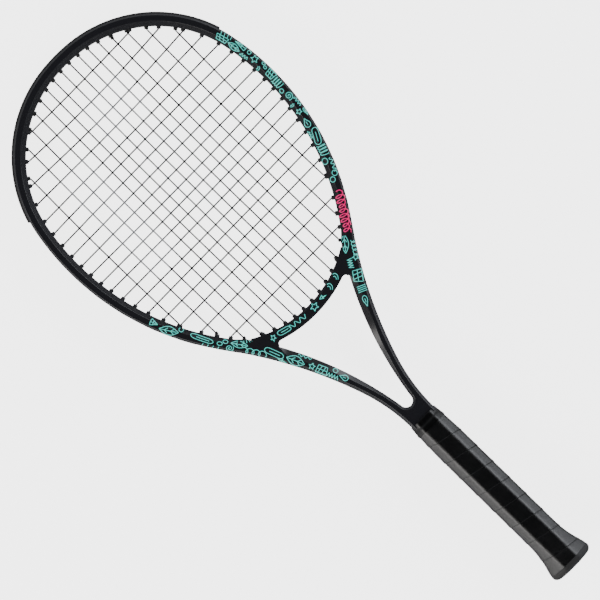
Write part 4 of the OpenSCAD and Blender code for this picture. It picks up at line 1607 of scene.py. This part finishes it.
    def squiggle(self, shell: Shell, face: float) -> None:
        """Draws the pink squiggle on the right side.

        Args:
            shell: The mesh that takes it.
            face: +1 on the front or -1 on the back.
        """
        start, stop = self.moulding.outline.s_at(402.0), self.moulding.outline.s_at(369.0)
        wide = self.moulding.profile((start + stop) / 2)["wide"]
        where = self.band_place(1.0, face)
        count, turns = 190, 8.5
        places = []
        for i in range(count + 1):
            t = i / count
            angle = turns * 2 * math.pi * t + 0.6
            swing = wide * (0.24 + 0.15 * math.sin(7.0 * t + 0.3) ** 2 + (0.08 if 0.46 < t < 0.58 else 0.0))
            places.append((start + (stop - start) * t - 2.3 * math.sin(angle) + 0.9 * math.cos(angle),
                           wide * 0.52 + swing * math.cos(angle)))
        self.ribbon(shell, places, where, 1.0)
        swash = [(start + (stop - start) * (0.50 + 0.34 * t / 8), wide * (0.17 + 0.05 * math.sin(t * 0.55)))
                 for t in range(9)]
        self.ribbon(shell, swash, where, 0.9)

    def build(self) -> list[bpy.types.Object]:
        """Draws both faces."""
        pieces = []
        for face, label in ((1.0, "front"), (-1.0, "back")):
            shell = Shell()
            for side, marks in ((1.0, self.right), (-1.0, self.left)):
                for mark in marks:
                    self.on_band(shell, mark, side, face)
            for motif, x, length, breadth in self.middle:
                self.on_bridge(shell, motif, x, length, breadth, face)
            pieces.append(enter(shell.finish(f"turquoise_marks_{label}", INK)))
            shell = Shell()
            self.squiggle(shell, face)
            pieces.append(enter(shell.finish(f"pink_mark_{label}", PINK)))
        return pieces


# ---------- stage ----------


@dataclass
class Studio:
    """Pale floor, soft light and the camera."""

    distance: float = 4.5
    look_at: tuple[float, float] = (-0.0020, 0.3598)
    span: float = 0.5657
    right: tuple[float, float] = (0.69896, -0.71516)
    # Floor: heights under the butt and the hoop, how far apart those are, and its glow to the camera
    low_butt: float = -0.0197
    low_tip: float = -0.0121
    reach: float = 0.66
    glow: float = 3.8
    # World: where the horizon's light ends and the dark dome starts, as the direction's height
    horizon: tuple[float, tuple[float, float, float]] = (0.45, (0.70, 0.72, 0.76))
    dome: tuple[float, tuple[float, float, float]] = (0.70, (0.012, 0.012, 0.014))

    def build(self) -> None:
        """Makes the floor, the lights, the world and the camera."""
        self.floor()
        self.world()
        self.lights()
        self.camera()

    def floor(self) -> None:
        """Makes a plain pale floor that the butt and the hoop both touch."""
        bm = bmesh.new()
        bmesh.ops.create_grid(bm, x_segments=4, y_segments=4, size=6.0)
        slope = (self.low_tip - self.low_butt) / self.reach
        for vert in bm.verts:
            vert.co.z = self.low_butt + slope * vert.co.y - 0.2 * MM
        mesh = bpy.data.meshes.new("floor")
        bm.to_mesh(mesh)
        bm.free()
        floor = bpy.data.objects.new("floor", mesh)
        bpy.context.scene.collection.objects.link(floor)
        material = bpy.data.materials.new("floor_paper")
        material.use_nodes = True
        shader = material.node_tree.nodes["Principled BSDF"]
        shader.inputs["Base Color"].default_value = (0.92, 0.92, 0.92, 1.0)
        shader.inputs["Roughness"].default_value = 0.9
        shader.inputs["Emission Color"].default_value = (1.0, 1.0, 1.0, 1.0)
        n = Nodes(material.node_tree)
        path = n.add("ShaderNodeLightPath")
        level = n.math("MULTIPLY", path.outputs["Is Camera Ray"], self.glow)
        n.link(level, shader.inputs["Emission Strength"])
        mesh.materials.append(material)

    def world(self) -> None:
        """Sets a soft dome, dark overhead and bright towards the horizon."""
        world = bpy.data.worlds.new("studio")
        bpy.context.scene.world = world
        world.use_nodes = True
        n = Nodes(world.node_tree)
        background = world.node_tree.nodes["Background"]
        where = n.add("ShaderNodeTexCoord")
        split = n.add("ShaderNodeSeparateXYZ")
        n.link(where.outputs["Generated"], split.inputs[0])
        ramp = n.add("ShaderNodeValToRGB")
        for element, (position, colour) in zip(ramp.color_ramp.elements, (self.horizon, self.dome)):
            element.position = position
            element.color = (*colour, 1.0)
        n.link(split.outputs[2], ramp.inputs[0])
        n.link(ramp.outputs[0], background.inputs["Color"])
        background.inputs["Strength"].default_value = 1.0

    def lights(self) -> None:
        """Makes two long soft boxes beside the racket."""
        axis = Vector((0.0, 1.0, 0.0))
        for side, power, tint in ((-1, 25.0, (1.0, 0.97, 0.93)), (1, 23.0, (0.92, 0.95, 1.0))):
            data = bpy.data.lights.new(f"soft_box_{'left' if side < 0 else 'right'}", "AREA")
            data.shape = "RECTANGLE"
            data.size, data.size_y = 0.9, 2.2
            data.energy = power
            data.color = tint
            light = bpy.data.objects.new(data.name, data)
            light.location = (side * 1.75, 0.35, 0.75)
            aim = (Vector((0.0, 0.35, 0.0)) - light.location).normalized()
            across = axis.cross(-aim).normalized()
            light.rotation_euler = Matrix((across, axis, -aim)).transposed().to_euler()
            bpy.context.scene.collection.objects.link(light)

    def camera(self) -> None:
        """Makes a long-lens camera that looks straight down on the strings."""
        data = bpy.data.cameras.new("camera")
        data.sensor_width = 36.0
        data.lens = 36.0 * self.distance / self.span
        data.clip_end = 50.0
        camera = bpy.data.objects.new("camera", data)
        right = Vector((*self.right, 0.0)).normalized()
        ahead = Vector((0.0, 0.0, 1.0))
        up = ahead.cross(right)
        turn = Matrix((right, up, ahead)).transposed().to_4x4()
        camera.matrix_world = Matrix.Translation(Vector((*self.look_at, self.distance))) @ turn
        bpy.context.scene.collection.objects.link(camera)
        bpy.context.scene.camera = camera


def main() -> None:
    """Builds the racket's looks in order and reports each piece."""
    logging.basicConfig(level=logging.INFO, format="%(message)s")
    Studio().build()
    outline = Outline()
    moulding = Moulding(outline)
    bridge = Bridge()
    pieces = [moulding.build(), bridge.build()]
    pieces += StringBed(outline).build()
    pieces += Handle().build()
    pieces += Drawings(moulding, bridge).build()
    for piece in pieces:
        LOG.info("built %s with %d faces", piece.name, len(piece.data.polygons))
    GUARD.dress("bumper_guard")
    NYLON.dress("grommet_strip_left", "grommet_strip_right", "throat_grommet_strip")
    FOAM.dress("pallet_front", "pallet_back")
    CLOTH.dress("pallet_tapes")
    PLUG.dress("tube_plug_left", "tube_plug_right")
    STEEL.dress("butt_cap_staples", "grip_start_staple")


if __name__ == "__main__":
    main()
